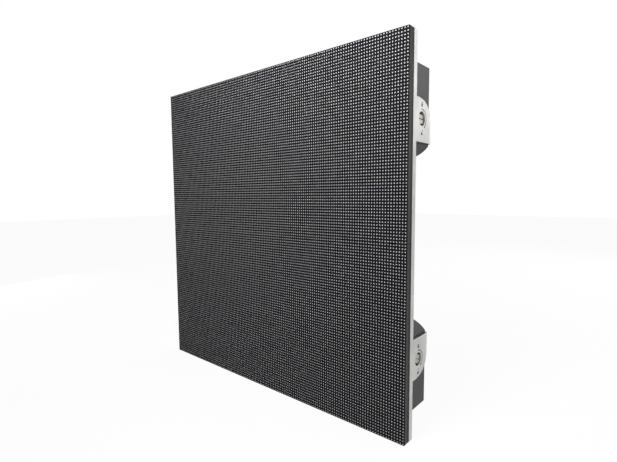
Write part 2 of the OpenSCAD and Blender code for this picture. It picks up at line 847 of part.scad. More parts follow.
// Six screws of the cover
module cover_screws() {
    color([0.7, 0.7, 0.7]) placed() at_cover_screws([-1:1]) {
        depth_pin(0, 0, cover_head_r, cover_end, cover_end + cover_head_t);
        depth_pin(0, 0, cover_screw_r, cover_d - cover_screw_len + 1, cover_end + eps);
    }
}

// Board that joins the modules, the receiver and the power supply
module hub_board() {
    color([0.05, 0.2, 0.3]) placed() {
        slab(header_end, hub_back) square([2 * hub_half_w, 2 * hub_half_h], center = true);
        for (z = [-40, 60]) block([36, 50], [z - 20, z + 20], [hub_back, hub_back + 4]);
        block([-50, -10], [-92, -76], [hub_back, hub_back + 9]);
    }
}

// Receiver board plugged onto the hub board
module receiver_board() {
    color([0.05, 0.25, 0.12]) placed() {
        block(receiver_x, receiver_z, [receiver_d, receiver_d + 1.6]);
        for (z = [-40, 60]) block([38, 48], [z - 18, z + 18], [hub_back + 4, receiver_d]);
        block([34, 52], [0, 18], [receiver_d + 1.6, receiver_d + 3.4]);
        block([36, 50], [-34, -24], [receiver_d + 1.6, receiver_d + 3]);
    }
}

// Closed power supply
module power_supply() {
    low = hub_back + supply_gap;
    color([0.75, 0.76, 0.76]) placed() difference() {
        block(supply_x, supply_z, [low, supply_end]);
        block([supply_x[0] + supply_mouth, supply_x[1] - supply_mouth],
            [supply_z[0] - over, supply_z[0] + supply_seat], [low + supply_mouth, supply_end + over]);
    }
}

// Spacers between the hub board and the power supply
module supply_spacers() {
    color([0.8, 0.7, 0.4]) placed()
        for (x = [supply_x[0] + supply_seat, supply_x[1] - supply_seat],
            z = [supply_z[0] + supply_seat, supply_z[1] - supply_seat])
            depth_pin(x, z, spacer_r, hub_back, hub_back + supply_gap);
}

// Flange and barrel shared by the four panel sockets
module socket_body(x, deep) {
    flange_r = 3;
    outside = -box_half_h;
    translate([x, socket_d, outside - socket_t]) linear_extrude(socket_t) difference() {
        round_rect(socket_w, socket_h, flange_r);
        circle(barrel_r - 1);
        for (s = sides) translate(s * socket_screw) circle(cover_screw_r + screw_clear);
    }
    translate([x, socket_d, outside - socket_t]) difference() {
        cylinder(r = barrel_r, h = socket_t + barrel_len);
        translate([0, 0, -over]) cylinder(r = barrel_r - socket_wall, h = deep + over);
    }
}

// Round power socket with its core
module power_socket(x) {
    placed() {
        socket_body(x, core_end);
        translate([x, socket_d, -box_half_h - socket_t + 1.5]) difference() {
            cylinder(r = 6.3, h = core_end);
            for (s = [0, 120, 240]) rotate([0, 0, s]) translate([3.4, 0, -over])
                cube([1.4, 2.6, 8], center = true);
        }
    }
}

// Data socket with a square jack in its round shell
module data_socket(x) {
    jack_w = 12;
    jack_h = 8.4;
    placed() {
        socket_body(x, core_end);
        translate([x, socket_d, -box_half_h - socket_t + 3]) difference() {
            cylinder(r = barrel_r - socket_wall, h = core_end - 2);
            translate([-jack_w / 2, -jack_h / 2, -over]) cube([jack_w, jack_h, 11]);
            translate([-2.5, jack_h / 2 - over, -over]) cube([5, 2 + over, 11]);
        }
    }
}

// Screws of the four sockets
module socket_screws() {
    color([0.7, 0.7, 0.7]) placed() for (x = [-power_x, -data_x, data_x, power_x], s = sides)
        translate([x + s * socket_screw[0], socket_d + s * socket_screw[1], -box_half_h - socket_t]) {
            translate([0, 0, -1.5]) cylinder(r = 2.6, h = 1.5);
            translate([0, 0, -eps]) cylinder(r = cover_screw_r, h = socket_t + eps);
        }
}

// Small board behind the button and the status light
module indicator_board() {
    color([0.05, 0.25, 0.12]) placed() {
        block([lens_x - 12, button_x + 12], [button_z - 8, button_z + 8],
            [led_board_d, led_board_d + led_board_t]);
        depth_pin(button_x, button_z, 1.5, led_board_d + led_board_t - eps, led_board_d + led_board_t + 2);
        block([lens_x - 1.5, lens_x + 1.5], [button_z - 1.5, button_z + 1.5],
            [led_board_d + led_board_t - eps, led_board_d + led_board_t + 1]);
    }
}

// Button that starts the test picture
module test_button() {
    color([0.75, 0.1, 0.08]) placed() difference() {
        union() {
            depth_pin(button_x, button_z, button_r, button_low, button_end);
            depth_pin(button_x, button_z, button_flange_r, button_low, cover_d - 0.3);
        }
        depth_pin(button_x, button_z, 2, button_low - over, button_low + 2.6);
    }
}

// Lens of the status light
module status_lens() {
    color([0.2, 0.8, 0.35]) placed() {
        depth_pin(lens_x, button_z, lens_r, led_board_d + led_board_t + 1.2, cover_end + 0.3);
    }
}

// Bent handle on two feet
module handle() {
    reach = handle_x - handle_bend;
    bend_d = handle_d - handle_bend;
    color([0.15, 0.15, 0.15]) placed() translate([0, 0, handle_v]) {
        translate([-reach, handle_d, 0]) rotate([0, 90, 0]) cylinder(r = handle_r, h = 2 * reach);
        for (s = sides) mirror([s < 0 ? 1 : 0, 0, 0]) {
            translate([reach, bend_d, 0]) rotate_extrude(angle = 90)
                translate([handle_bend, 0]) circle(handle_r);
            depth_pin(handle_x, 0, handle_r, web_end + foot_t - over, bend_d);
            difference() {
                slab(web_end, web_end + foot_t) translate([handle_x, 0]) round_rect(foot_w, foot_h, 6);
                for (z = sides) depth_pin(handle_x, z * foot_screw_z, foot_screw_r + screw_clear,
                    web_end - over, web_end + foot_t + over);
            }
        }
    }
}

// Rubber sleeve on the handle
module handle_grip() {
    half = handle_x - handle_bend - 3;
    color([0.06, 0.06, 0.06]) placed() translate([-half, handle_d, handle_v]) rotate([0, 90, 0])
        difference() {
            cylinder(r = handle_r + grip_t, h = 2 * half);
            translate([0, 0, -over]) cylinder(r = handle_r, h = 2 * half + 2 * over);
        }
}

// Four screws of the handle
module handle_screws() {
    foot_end = web_end + foot_t;
    color([0.7, 0.7, 0.7]) placed() at_foot_screws() {
        depth_pin(0, 0, foot_head_r, foot_end, foot_end + foot_head_t);
        depth_pin(0, 0, foot_screw_r, module_d + over, foot_end + eps);
    }
}

frame();
mask(-1, 1);  // mask_upper_left
mask(1, 1);  // mask_upper_right
mask(-1, -1);  // mask_lower_left
mask(1, -1);  // mask_lower_right
lamp_board(-1, 1);  // lamp_board_upper_left
lamp_board(1, 1);  // lamp_board_upper_right
lamp_board(-1, -1);  // lamp_board_lower_left
lamp_board(1, -1);  // lamp_board_lower_right
module_base(-1, 1);  // module_base_upper_left
module_base(1, 1);  // module_base_upper_right
module_base(-1, -1);  // module_base_lower_left
module_base(1, -1);  // module_base_lower_right
module_screws();
mask_screws();
module_headers();
latch_at(0, 0);  // side_latch_upper
latch_at(1, lower_latch_turn);  // side_latch_lower
latch_at(2, 0);  // top_latch_left
latch_at(3, 0);  // top_latch_right
wheel_at(0);  // side_wheel_upper
wheel_at(1);  // side_wheel_lower
wheel_at(2);  // top_wheel_left
wheel_at(3);  // top_wheel_right
wheel_screw_at(0);  // side_wheel_screw_upper
wheel_screw_at(1);  // side_wheel_screw_lower
wheel_screw_at(2);  // top_wheel_screw_left
wheel_screw_at(3);  // top_wheel_screw_right
latch_bushes();
latch_keepers();
keeper_screws();
power_box();
box_cover();
cover_seal();
box_screws();
cover_screws();
hub_board();
receiver_board();
power_supply();
supply_spacers();
color([0.15, 0.25, 0.5]) power_socket(-power_x);  // power_inlet
color([0.55, 0.55, 0.55]) power_socket(power_x);  // power_outlet
color([0.12, 0.12, 0.12]) data_socket(-data_x);  // data_input
color([0.12, 0.12, 0.12]) data_socket(data_x);  // data_output
socket_screws();
indicator_board();
test_button();
status_lens();
handle();
handle_grip();
handle_screws();
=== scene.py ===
"""Looks of a square LED wall tile: lamps, masks, cast frame, latches and the box on its back."""
import math

import bmesh
import bpy
from mathutils import Matrix, Vector


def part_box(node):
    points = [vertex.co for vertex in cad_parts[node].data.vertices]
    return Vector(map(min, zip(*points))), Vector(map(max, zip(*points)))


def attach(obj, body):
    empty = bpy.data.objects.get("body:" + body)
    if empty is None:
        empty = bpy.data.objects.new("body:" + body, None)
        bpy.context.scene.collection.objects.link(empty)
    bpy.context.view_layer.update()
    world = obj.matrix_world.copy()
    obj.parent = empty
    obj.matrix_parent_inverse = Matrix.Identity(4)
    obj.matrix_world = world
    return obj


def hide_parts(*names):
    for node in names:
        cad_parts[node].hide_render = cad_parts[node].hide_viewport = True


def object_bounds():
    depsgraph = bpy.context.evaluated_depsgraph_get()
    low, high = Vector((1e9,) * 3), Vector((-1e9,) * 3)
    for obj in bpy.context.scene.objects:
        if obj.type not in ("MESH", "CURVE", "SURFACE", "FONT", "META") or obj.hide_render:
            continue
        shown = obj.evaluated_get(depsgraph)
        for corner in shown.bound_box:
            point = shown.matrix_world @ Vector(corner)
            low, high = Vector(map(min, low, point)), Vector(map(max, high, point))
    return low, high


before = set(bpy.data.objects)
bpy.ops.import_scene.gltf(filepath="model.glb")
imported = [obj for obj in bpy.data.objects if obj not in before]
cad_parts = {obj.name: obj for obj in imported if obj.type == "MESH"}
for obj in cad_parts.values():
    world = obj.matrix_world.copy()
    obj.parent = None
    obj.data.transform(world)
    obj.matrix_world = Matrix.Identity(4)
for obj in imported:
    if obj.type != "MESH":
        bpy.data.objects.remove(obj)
cad_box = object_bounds()

MM = 0.001
LAMPS = 64
CORNERS = {
    "upper_left": (-1, 1),
    "upper_right": (1, 1),
    "lower_left": (-1, -1),
    "lower_right": (1, -1),
}

# Places read from the frame
low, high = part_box("mask_upper_right")
FACE_Y = low.y
MODULE = high.x - low.x
SKIRT = high.y - low.y
SEAM = low.x
HALF = (high.x + SEAM) / 2
PITCH = HALF * 2 / LAMPS
MID_Z = cad_box[1].z / 2
BOARD_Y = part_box("lamp_board_upper_right")[0].y
BOARD_BACK = BOARD_Y + 1.6 * MM
PLATE = BOARD_Y - FACE_Y
BACK_Y = cad_box[1].y
SIDE_X = cad_box[1].x
TOP_Z = cad_box[1].z
LATCH_Y = sum(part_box("side_wheel_upper"), Vector()).y / 2
SIDE_LATCHES = [sum(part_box(n), Vector()).z / 2 for n in ("side_wheel_upper", "side_wheel_lower")]
TOP_LATCHES = [sum(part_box(n), Vector()).x / 2 for n in ("top_wheel_left", "top_wheel_right")]

# Milled parts of the casting
RECESS_R = 8.75 * MM
LUG_START = 75.4 * MM
LUG_END = 128.4 * MM
LUG_T = 9.0 * MM
BEVEL_DEEP = 5.7 * MM
BEVEL_T = 1.4 * MM
MARGIN = 0.3 * MM
HAIR = 0.05 * MM

# Lamps and mask, with places in a lamp as shares of the pitch
LAMP_SIDE = 2.1 * MM
LAMP_TOP = 0.35 * MM
WINDOW = 2.5 * MM
MASK_EDGE = 0.25 * MM
BACK_INSET = 0.4 * MM
SKIRT_T = 1.5 * MM
INSERT_LAMPS = 16
JOINT = 0.22 * MM
MERGE = 0.004 * MM
CUP_DEEP = 0.12 * MM
CUP_SHARE = 0.80
CUP_EDGE = (0.170, 0.188)
LAMP_CHIPS = ((-0.07, -0.04), (0.07, -0.04), (0.0, 0.08))
LAMP_CHIP = 0.028
ACCESS_COL = 4
ACCESS_ROW = 8
ACCESS_R = 0.95 * MM

# Driver chips and the small parts round them
CHIP_COLUMNS = 8
CHIP_ROWS = 4
CHIP_STEP_X = 26 * MM
CHIP_STEP_Z = 50 * MM
CHIP_WIDE = 7 * MM
CHIP_LONG = 12 * MM
LEG = (1.2 * MM, 0.4 * MM, 0.3 * MM)
RESISTOR = (1.6 * MM, 0.9 * MM, 0.55 * MM)

# Screw heads
CROWN = 0.82
SIXTH = math.radians(60)

# Signs on the lugs: the arrow and the places of the locks in millimetres from the latch, then their depths
ARROW_R = 11.5
ARROW_FROM = 98
ARROW_TO = -48
ARROW_WIDE = 1.25
SHUT_LOCK = 16.8
OPEN_LOCK = -17.2
SIGN_SUNK = -0.02 * MM
SIGN_PROUD = 0.015 * MM


# Small helpers for node trees

def add(tree, kind, **settings):
    node = tree.nodes.new(kind)
    for key, value in settings.items():
        setattr(node, key, value)
    return node


def feed(tree, socket, value):
    """Joins an output to a socket, or writes a plain value on it."""
    if isinstance(value, bpy.types.NodeSocket):
        tree.links.new(value, socket)
    else:
        socket.default_value = value


def fill(tree, node, inputs):
    """Joins or sets several inputs of a node."""
    for label, value in inputs.items():
        feed(tree, node.inputs[label], value)


def wire(tree, kind, inputs, **settings):
    """New node with its settings and inputs."""
    node = add(tree, kind, **settings)
    fill(tree, node, inputs)
    return node


def calc(tree, operation, *values):
    """One scalar Math node."""
    return wire(tree, "ShaderNodeMath", dict(enumerate(values)), operation=operation).outputs[0]


def chained(tree, operation, *values):
    """Values joined in turn by one operation."""
    result = values[0]
    for value in values[1:]:
        result = calc(tree, operation, result, value)
    return result


def square_sum(tree, *values):
    return chained(tree, "ADD", *[calc(tree, "POWER", value, 2.0) for value in values])


def vector_calc(tree, operation, first, second):
    """One Vector Math node that gives a vector."""
    return wire(tree, "ShaderNodeVectorMath", {0: first, 1: second}, operation=operation).outputs[0]


def vector_of(tree, **axes):
    return wire(tree, "ShaderNodeCombineXYZ", axes).outputs[0]


def axes_of(tree, vector):
    return wire(tree, "ShaderNodeSeparateXYZ", {0: vector}).outputs


def blend_colour(tree, factor, first, second):
    return wire(tree, "ShaderNodeMix", {0: factor, 6: first, 7: second}, data_type="RGBA").outputs[2]


def ramp(tree, value, low_edge, high_edge, to_low=0.0, to_high=1.0):
    """Smooth step from one value to another."""
    inputs = dict(enumerate((value, low_edge, high_edge, to_low, to_high)))
    return wire(tree, "ShaderNodeMapRange", inputs, interpolation_type="SMOOTHSTEP").outputs[0]


def object_place(tree):
    return add(tree, "ShaderNodeTexCoord").outputs["Object"]


def noise(tree, scale, detail, vector=None):
    """Noise over object space, or over the vector given."""
    place = object_place(tree) if vector is None else vector
    inputs = {"Vector": place, "Scale": scale, "Detail": detail}
    return wire(tree, "ShaderNodeTexNoise", inputs).outputs["Fac"]


def grey(level):
    return (level, level, level, 1.0)


def darker(colour, share):
    return tuple(c * share for c in colour[:3]) + (1.0,)


def new_group(name, inputs, outputs):
    """Shader group with named inputs and outputs: (group, the inputs' sockets, its output node)."""
    group = bpy.data.node_groups.new(name, "ShaderNodeTree")
    for label, kind, value in inputs:
        socket = group.interface.new_socket(name=label, in_out="INPUT", socket_type=kind)
        socket.default_value = value
    for label, kind in outputs:
        group.interface.new_socket(name=label, in_out="OUTPUT", socket_type=kind)
    return group, add(group, "NodeGroupInput").outputs, add(group, "NodeGroupOutput")


def use_group(tree, group, **inputs):
    """Outputs of a group that stands in a tree with these inputs."""
    return wire(tree, "ShaderNodeGroup", inputs, node_tree=group).outputs


FLOAT = "NodeSocketFloat"
VECTOR = "NodeSocketVector"


# Effects that several finishes share

def grain_group():
    """Orange-peel grain of powder coat and moulded skin, as a height and a shade."""
    group, given, out = new_group(
        "fine grain",
        [("Size", FLOAT, 0.4), ("Detail", FLOAT, 3.0)],
        [("Height", FLOAT), ("Shade", FLOAT)],
    )
    scale = calc(group, "DIVIDE", 1000.0, given["Size"])
    fill(group, out, {
        "Height": noise(group, scale, given["Detail"]),
        "Shade": noise(group, 14.0, 3.0),
    })
    return group


def edge_group():
    """Mask that is bright at outer edges, and the normal with those edges softened."""
    group, given, out = new_group(
        "edge wear and highlight",
        [("Width", FLOAT, 0.5), ("Breakup", FLOAT, 0.4)],
        [("Mask", FLOAT), ("Normal", VECTOR)],
    )
    radius = calc(group, "MULTIPLY", given["Width"], MM)
    bevel = wire(group, "ShaderNodeBevel", {"Radius": radius}, samples=4).outputs[0]
    normal = add(group, "ShaderNodeNewGeometry").outputs["Normal"]
    dot = wire(group, "ShaderNodeVectorMath", {0: bevel, 1: normal}, operation="DOT_PRODUCT")
    bend = calc(group, "SUBTRACT", 1.0, dot.outputs["Value"])
    broken = calc(group, "MULTIPLY", noise(group, 260.0, 4.0), given["Breakup"])
    fill(group, out, {
        "Mask": ramp(group, calc(group, "SUBTRACT", bend, broken), 0.0, 0.16),
        "Normal": bevel,
    })
    return group


def milled_group():
    """Fine parallel tool marks, as a height and a shade."""
    group, given, out = new_group(
        "tool marks",
        [("Stretch", VECTOR, (30.0, 30.0, 2600.0)), ("Contrast", FLOAT, 0.5)],
        [("Height", FLOAT), ("Shade", FLOAT)],
    )
    scaled = vector_calc(group, "MULTIPLY", object_place(group), given["Stretch"])
    marks = noise(group, 1.0, 3.0, scaled)
    stain = noise(group, 55.0, 5.0)
    fill(group, out, {
        "Height": marks,
        "Shade": calc(group, "MULTIPLY_ADD", stain, given["Contrast"], marks),
    })
    return group


def lamp_cell_group():
    """Place inside one lamp's cell, from -0.5 to 0.5, and a number that differs from lamp to lamp."""
    group, given, out = new_group(
        "lamp cell",
        [("Pitch", FLOAT, PITCH)],
        [("Across", FLOAT), ("Up", FLOAT), ("Radius", FLOAT), ("Lamp", FLOAT)],
    )
    place = axes_of(group, object_place(group))
    cells = []
    offsets = []
    for axis, shift in (("X", 0.0), ("Z", MID_Z)):
        cell = calc(group, "DIVIDE", calc(group, "SUBTRACT", place[axis], shift), given["Pitch"])
        cells.append(calc(group, "FLOOR", cell))
        offsets.append(calc(group, "SUBTRACT", calc(group, "FRACT", cell), 0.5))
    number = vector_of(group, X=cells[0], Z=cells[1])
    chance = wire(group, "ShaderNodeTexWhiteNoise", {"Vector": number}, noise_dimensions="3D")
    fill(group, out, {
        "Across": offsets[0],
        "Up": offsets[1],
        "Radius": calc(group, "SQRT", square_sum(group, *offsets)),
        "Lamp": chance.outputs["Value"],
    })
    return group


GRAIN = grain_group()
EDGE = edge_group()
MILLED = milled_group()
CELL = lamp_cell_group()


# Finishes

def new_finish(name):
    """Material with one Principled shader: (material, tree, shader)."""
    material = bpy.data.materials.new(name)
    material.use_nodes = True
    tree = material.node_tree
    tree.nodes.clear()
    shader = add(tree, "ShaderNodeBsdfPrincipled")
    out = add(tree, "ShaderNodeOutputMaterial")
    tree.links.new(shader.outputs[0], out.inputs[0])
    return material, tree, shader


def bump(tree, height, strength, distance, normal=None):
    inputs = {"Height": height, "Strength": strength, "Distance": distance}
    if normal is not None:
        inputs["Normal"] = normal
    return wire(tree, "ShaderNodeBump", inputs).outputs[0]


def coated(name, colour, rough, grain=0.35, depth=0.03, wear=None, metallic=0.0, gloss=0.5):
    """Painted, coated or moulded surface with grain, uneven gloss and worn edges."""
    material, tree, shader = new_finish(name)
    fine = use_group(tree, GRAIN, Size=grain)
    edge = use_group(tree, EDGE, Width=0.5)
    body = blend_colour(tree, ramp(tree, fine["Shade"], 0.3, 0.7), darker(colour, 0.86), colour)
    if wear is not None:
        body = blend_colour(tree, calc(tree, "MULTIPLY", edge["Mask"], 0.6), body, wear)
    fill(tree, shader, {
        "Base Color": body,
        "Roughness": ramp(tree, fine["Shade"], 0.25, 0.75, rough - 0.06, rough + 0.06),
        "Metallic": metallic,
        "Specular IOR Level": gloss,
        "Normal": bump(tree, fine["Height"], 0.5, depth * MM, edge["Normal"]),
    })
    return material


def turned(name, colour, rough, stretch=(30.0, 30.0, 2600.0)):
    """Bare machined metal with tool marks."""
    material, tree, shader = new_finish(name)
    marks = use_group(tree, MILLED, Stretch=stretch)
    edge = use_group(tree, EDGE, Width=0.3)
    shade = ramp(tree, marks["Shade"], 0.35, 1.15)
    fill(tree, shader, {
        "Base Color": blend_colour(tree, shade, darker(colour, 0.72), colour),
        "Roughness": ramp(tree, marks["Shade"], 0.3, 1.2, rough + 0.12, rough - 0.04),
        "Metallic": 1.0,
        "Normal": bump(tree, marks["Height"], 0.3, 0.01 * MM, edge["Normal"]),
    })
    return material


def milled_places(tree):
    """One where the rim, the lugs and the recesses of the casting were milled."""
    place = axes_of(tree, object_place(tree))
    across = calc(tree, "SUBTRACT", SIDE_X, calc(tree, "ABSOLUTE", place["X"]))
    height = calc(tree, "ABSOLUTE", calc(tree, "SUBTRACT", place["Z"], MID_Z))
    upward = calc(tree, "SUBTRACT", MID_Z, height)
    inward = calc(tree, "MINIMUM", across, upward)
    along = calc(tree, "MAXIMUM", across, upward)

    def under(value, limit):
        return calc(tree, "LESS_THAN", value, limit)

    def over(value, limit):
        return calc(tree, "GREATER_THAN", value, limit)

    in_lug = chained(tree, "MULTIPLY", over(along, LUG_START), under(along, LUG_END))
    bevel = chained(tree, "MULTIPLY", over(place["Y"], BACK_Y - BEVEL_DEEP), under(inward, BEVEL_T), in_lug)
    at_back = over(place["Y"], BACK_Y - MARGIN)
    lug_back = chained(tree, "MULTIPLY", under(inward, LUG_T + HAIR), in_lug, at_back)
    from_axis = calc(tree, "SUBTRACT", along, MID_Z - abs(SIDE_LATCHES[0] - MID_Z))
    from_depth = calc(tree, "SUBTRACT", place["Y"], LATCH_Y)
    in_reach = under(square_sum(tree, from_axis, from_depth), (RECESS_R + MARGIN) ** 2)
    in_bore = chained(tree, "MULTIPLY", in_reach, under(inward, LUG_T))
    return chained(tree, "MAXIMUM", under(inward, MARGIN), in_bore, bevel, lug_back)


def frame_finish():
    """Dark paint on the casting with worn edges, and bare metal where it was milled, painted lighter along
    its edges as a painted highlight.
    """
    material, tree, shader = new_finish("painted casting")
    bare = milled_places(tree)
    fine = use_group(tree, GRAIN, Size=0.5)
    marks = use_group(tree, MILLED, Stretch=(1400.0, 60.0, 60.0))
    edge = use_group(tree, EDGE, Width=0.7, Breakup=0.5)
    shade = ramp(tree, fine["Shade"], 0.3, 0.7)
    paint = blend_colour(tree, shade, (0.044, 0.045, 0.044, 1), (0.060, 0.061, 0.059, 1))
    paint = blend_colour(tree, calc(tree, "MULTIPLY", edge["Mask"], 0.35), paint, grey(0.26))
    mark_shade = ramp(tree, marks["Shade"], 0.4, 1.1)
    metal = blend_colour(tree, mark_shade, (0.475, 0.475, 0.465, 1), (0.60, 0.60, 0.585, 1))
    # Outer edges of the bare metal are painted a light grey: a painted highlight, not wear.
    metal = blend_colour(tree, calc(tree, "MULTIPLY", edge["Mask"], 0.7), metal, grey(0.84))
    paint_rough = ramp(tree, fine["Shade"], 0.3, 0.7, 0.52, 0.62)
    rough = wire(tree, "ShaderNodeMix", {0: bare, 2: paint_rough, 3: 0.42}, data_type="FLOAT")
    fill(tree, shader, {
        "Base Color": blend_colour(tree, bare, paint, metal),
        "Metallic": calc(tree, "MULTIPLY", bare, 0.75),
        "Roughness": rough.outputs[0],
        "Specular IOR Level": 0.35,
        "Normal": bump(tree, fine["Height"], 0.45, 0.04 * MM, edge["Normal"]),
    })
    return material


def mask_finish():
    """Matt black mask, with the joints between its inserts, a greyer skirt and painted shade on its window
    walls.
    """
    material, tree, shader = new_finish("black mask")
    place = axes_of(tree, object_place(tree))
    lines = []
    for axis, shift in (("X", 0.0), ("Z", MID_Z)):
        moved = calc(tree, "SUBTRACT", place[axis], shift)
        wrapped = calc(tree, "PINGPONG", moved, INSERT_LAMPS * PITCH / 2)
        lines.append(calc(tree, "LESS_THAN", calc(tree, "ABSOLUTE", wrapped), JOINT))
    fine = use_group(tree, GRAIN, Size=0.25)
    shade = ramp(tree, fine["Shade"], 0.3, 0.7)
    # Window walls are painted darker towards the board: painted shade inside the windows.
    painted_window_shade = ramp(tree, place["Y"], FACE_Y, BOARD_Y - 0.1 * MM)
    skirt = calc(tree, "GREATER_THAN", place["Y"], BOARD_Y + HAIR)
    face = blend_colour(tree, shade, (0.0095, 0.0090, 0.0125, 1), (0.0135, 0.0128, 0.0170, 1))
    face = blend_colour(tree, chained(tree, "MAXIMUM", *lines), face, grey(0.006))
    face = blend_colour(tree, painted_window_shade, face, grey(0.008))
    fill(tree, shader, {
        "Base Color": blend_colour(tree, skirt, face, (0.120, 0.121, 0.121, 1)),
        "Roughness": ramp(tree, fine["Shade"], 0.3, 0.7, 0.55, 0.68),
        "Specular IOR Level": 0.05,
        "Normal": bump(tree, fine["Height"], 0.4, 0.02 * MM),
    })
    return material


def lamp_finish():
    """Dark lamp bodies with a pale round cup, three chips in it and a slightly different tone on each."""
    material, tree, shader = new_finish("lamp epoxy")
    cell = use_group(tree, CELL)
    cup = ramp(tree, cell["Radius"], *CUP_EDGE, 1.0, 0.0)
    chips = []
    for x, z in LAMP_CHIPS:
        dx = calc(tree, "ABSOLUTE", calc(tree, "SUBTRACT", cell["Across"], x))
        dz = calc(tree, "ABSOLUTE", calc(tree, "SUBTRACT", cell["Up"], z))
        chips.append(calc(tree, "LESS_THAN", calc(tree, "MAXIMUM", dx, dz), LAMP_CHIP))
    warm = ramp(tree, cell["Lamp"], 0.2, 0.8)
    tone = blend_colour(tree, warm, (0.86, 0.89, 0.95, 1), (0.93, 0.92, 0.88, 1))
    tone = blend_colour(tree, chained(tree, "MAXIMUM", *chips), tone, (0.34, 0.29, 0.20, 1))
    body = blend_colour(tree, cell["Lamp"], grey(0.085), grey(0.11))
    fill(tree, shader, {
        "Base Color": blend_colour(tree, cup, body, tone),
        "Roughness": ramp(tree, cup, 0.0, 1.0, 0.55, 0.30),
        "Specular IOR Level": 0.15,
    })
    return material


def board_finish(name, colour, track, packages=None):
    """Circuit board with tracks under its solder resist, tinned dots, and black packages beyond a depth."""
    material, tree, shader = new_finish(name)
    place = object_place(tree)
    plan = wire(tree, "ShaderNodeMapping", {"Rotation": (math.radians(90), 0, 0), "Vector": place})
    rows = wire(tree, "ShaderNodeTexBrick", {
        "Vector": plan.outputs[0], "Scale": 130.0,
        "Mortar Size": 0.06, "Brick Width": 2.6, "Row Height": 0.30,
    }).outputs["Fac"]
    dots = wire(tree, "ShaderNodeTexVoronoi", {"Vector": place, "Scale": 210.0})
    via = calc(tree, "LESS_THAN", dots.outputs["Distance"], 0.09)
    body = blend_colour(tree, rows, colour, track)
    body = blend_colour(tree, via, body, (0.30, 0.28, 0.22, 1))
    if packages is not None:
        beyond = calc(tree, "GREATER_THAN", axes_of(tree, place)["Y"], packages)
        body = blend_colour(tree, beyond, body, grey(0.018))
    fill(tree, shader, {
        "Base Color": body,
        "Roughness": ramp(tree, rows, 0.0, 1.0, 0.52, 0.44),
        "Specular IOR Level": 0.18,
        "Normal": bump(tree, rows, 0.4, 0.03 * MM),
    })
    return material


FRAME_METAL = frame_finish()
MASK = mask_finish()
LAMP = lamp_finish()
BOARD_BLACK = board_finish(
    "black board", (0.010, 0.020, 0.016, 1), (0.018, 0.040, 0.031, 1), packages=BOARD_BACK + HAIR,
)
BOARD_GREEN = board_finish("green board", (0.012, 0.085, 0.035, 1), (0.020, 0.130, 0.055, 1))
BASE = coated("base plastic", (0.020, 0.021, 0.013, 1), 0.60, grain=0.3, gloss=0.2)
BOX_PAINT = coated("box paint", (0.050, 0.050, 0.051, 1), 0.52, grain=0.6, depth=0.06, wear=grey(0.2))
BLACK_PLASTIC = coated("black plastic", (0.022, 0.022, 0.023, 1), 0.42, grain=0.3)
RUBBER = coated("soft rubber", (0.018, 0.018, 0.018, 1), 0.72, grain=0.2, depth=0.02)
BLUE_PLASTIC = coated("blue plastic", (0.020, 0.070, 0.300, 1), 0.38, grain=0.3, depth=0.01)
GREY_PLASTIC = coated("grey plastic", (0.300, 0.310, 0.320, 1), 0.40, grain=0.3, depth=0.01)
HANDLE_PAINT = coated("handle coat", (0.030, 0.030, 0.031, 1), 0.36, grain=0.5, wear=grey(0.25))
RED_PLASTIC = coated("red plastic", (0.420, 0.024, 0.016, 1), 0.28, grain=0.6, depth=0.005)
GREEN_LENS = coated("green lens", (0.080, 0.420, 0.120, 1), 0.16, grain=0.9, depth=0.002)
SIGN_DARK = coated("engraved signs", (0.070, 0.058, 0.050, 1), 0.60, grain=0.2)
CHIP_RESISTOR = coated("chip resistor", (0.120, 0.105, 0.085, 1), 0.35, grain=0.2, depth=0.01)
STEEL = turned("zinc steel", (0.66, 0.66, 0.65, 1), 0.30, stretch=(600.0, 600.0, 600.0))
LATCH_STEEL = turned("latch steel", (0.50, 0.48, 0.43, 1), 0.42, stretch=(60.0, 60.0, 2200.0))
BLACK_STEEL = coated("black steel", (0.035, 0.035, 0.037, 1), 0.30, grain=0.4, depth=0.01, metallic=0.6)
BRONZE = turned("bearing bronze", (0.62, 0.42, 0.20, 1), 0.32)
SHEET_METAL = turned("folded sheet", (0.64, 0.65, 0.65, 1), 0.34, stretch=(900.0, 20.0, 20.0))

FINISHES = {
    "frame": FRAME_METAL,
    "lamp_board": BOARD_BLACK,
    "module_base": BASE,
    "module_screws": STEEL,
    "mask_screws": BLACK_STEEL,
    "mask_": MASK,
    "module_headers": BLACK_PLASTIC,
    "side_wheel_screw": STEEL,
    "top_wheel_screw": STEEL,
    "side_wheel": BLACK_PLASTIC,
    "top_wheel": BLACK_PLASTIC,
    "latch_bushes": BRONZE,
    "latch_keepers": STEEL,
    "keeper_screws": STEEL,
    "side_latch": LATCH_STEEL,
    "top_latch": LATCH_STEEL,
    "power_box": BOX_PAINT,
    "box_cover": BOX_PAINT,
    "cover_seal": RUBBER,
    "box_screws": STEEL,
    "cover_screws": BLACK_STEEL,
    "hub_board": BOARD_GREEN,
    "receiver_board": BOARD_GREEN,
    "power_supply": SHEET_METAL,
    "supply_spacers": BRONZE,
    "power_inlet": BLUE_PLASTIC,
    "power_outlet": GREY_PLASTIC,
    "data_": BLACK_PLASTIC,
    "socket_screws": BLACK_STEEL,
    "indicator_board": BOARD_GREEN,
    "test_button": RED_PLASTIC,
    "status_lens": GREEN_LENS,
    "handle_grip": RUBBER,
    "handle_screws": STEEL,
    "handle": HANDLE_PAINT,
}


def dress_nodes():
    """Gives every CAD node its finish: the first name that its own name starts with."""
    for name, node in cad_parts.items():
        finish = next(value for key, value in FINISHES.items() if name.startswith(key))
        node.data.materials.clear()
        node.data.materials.append(finish)


# Geometry trees

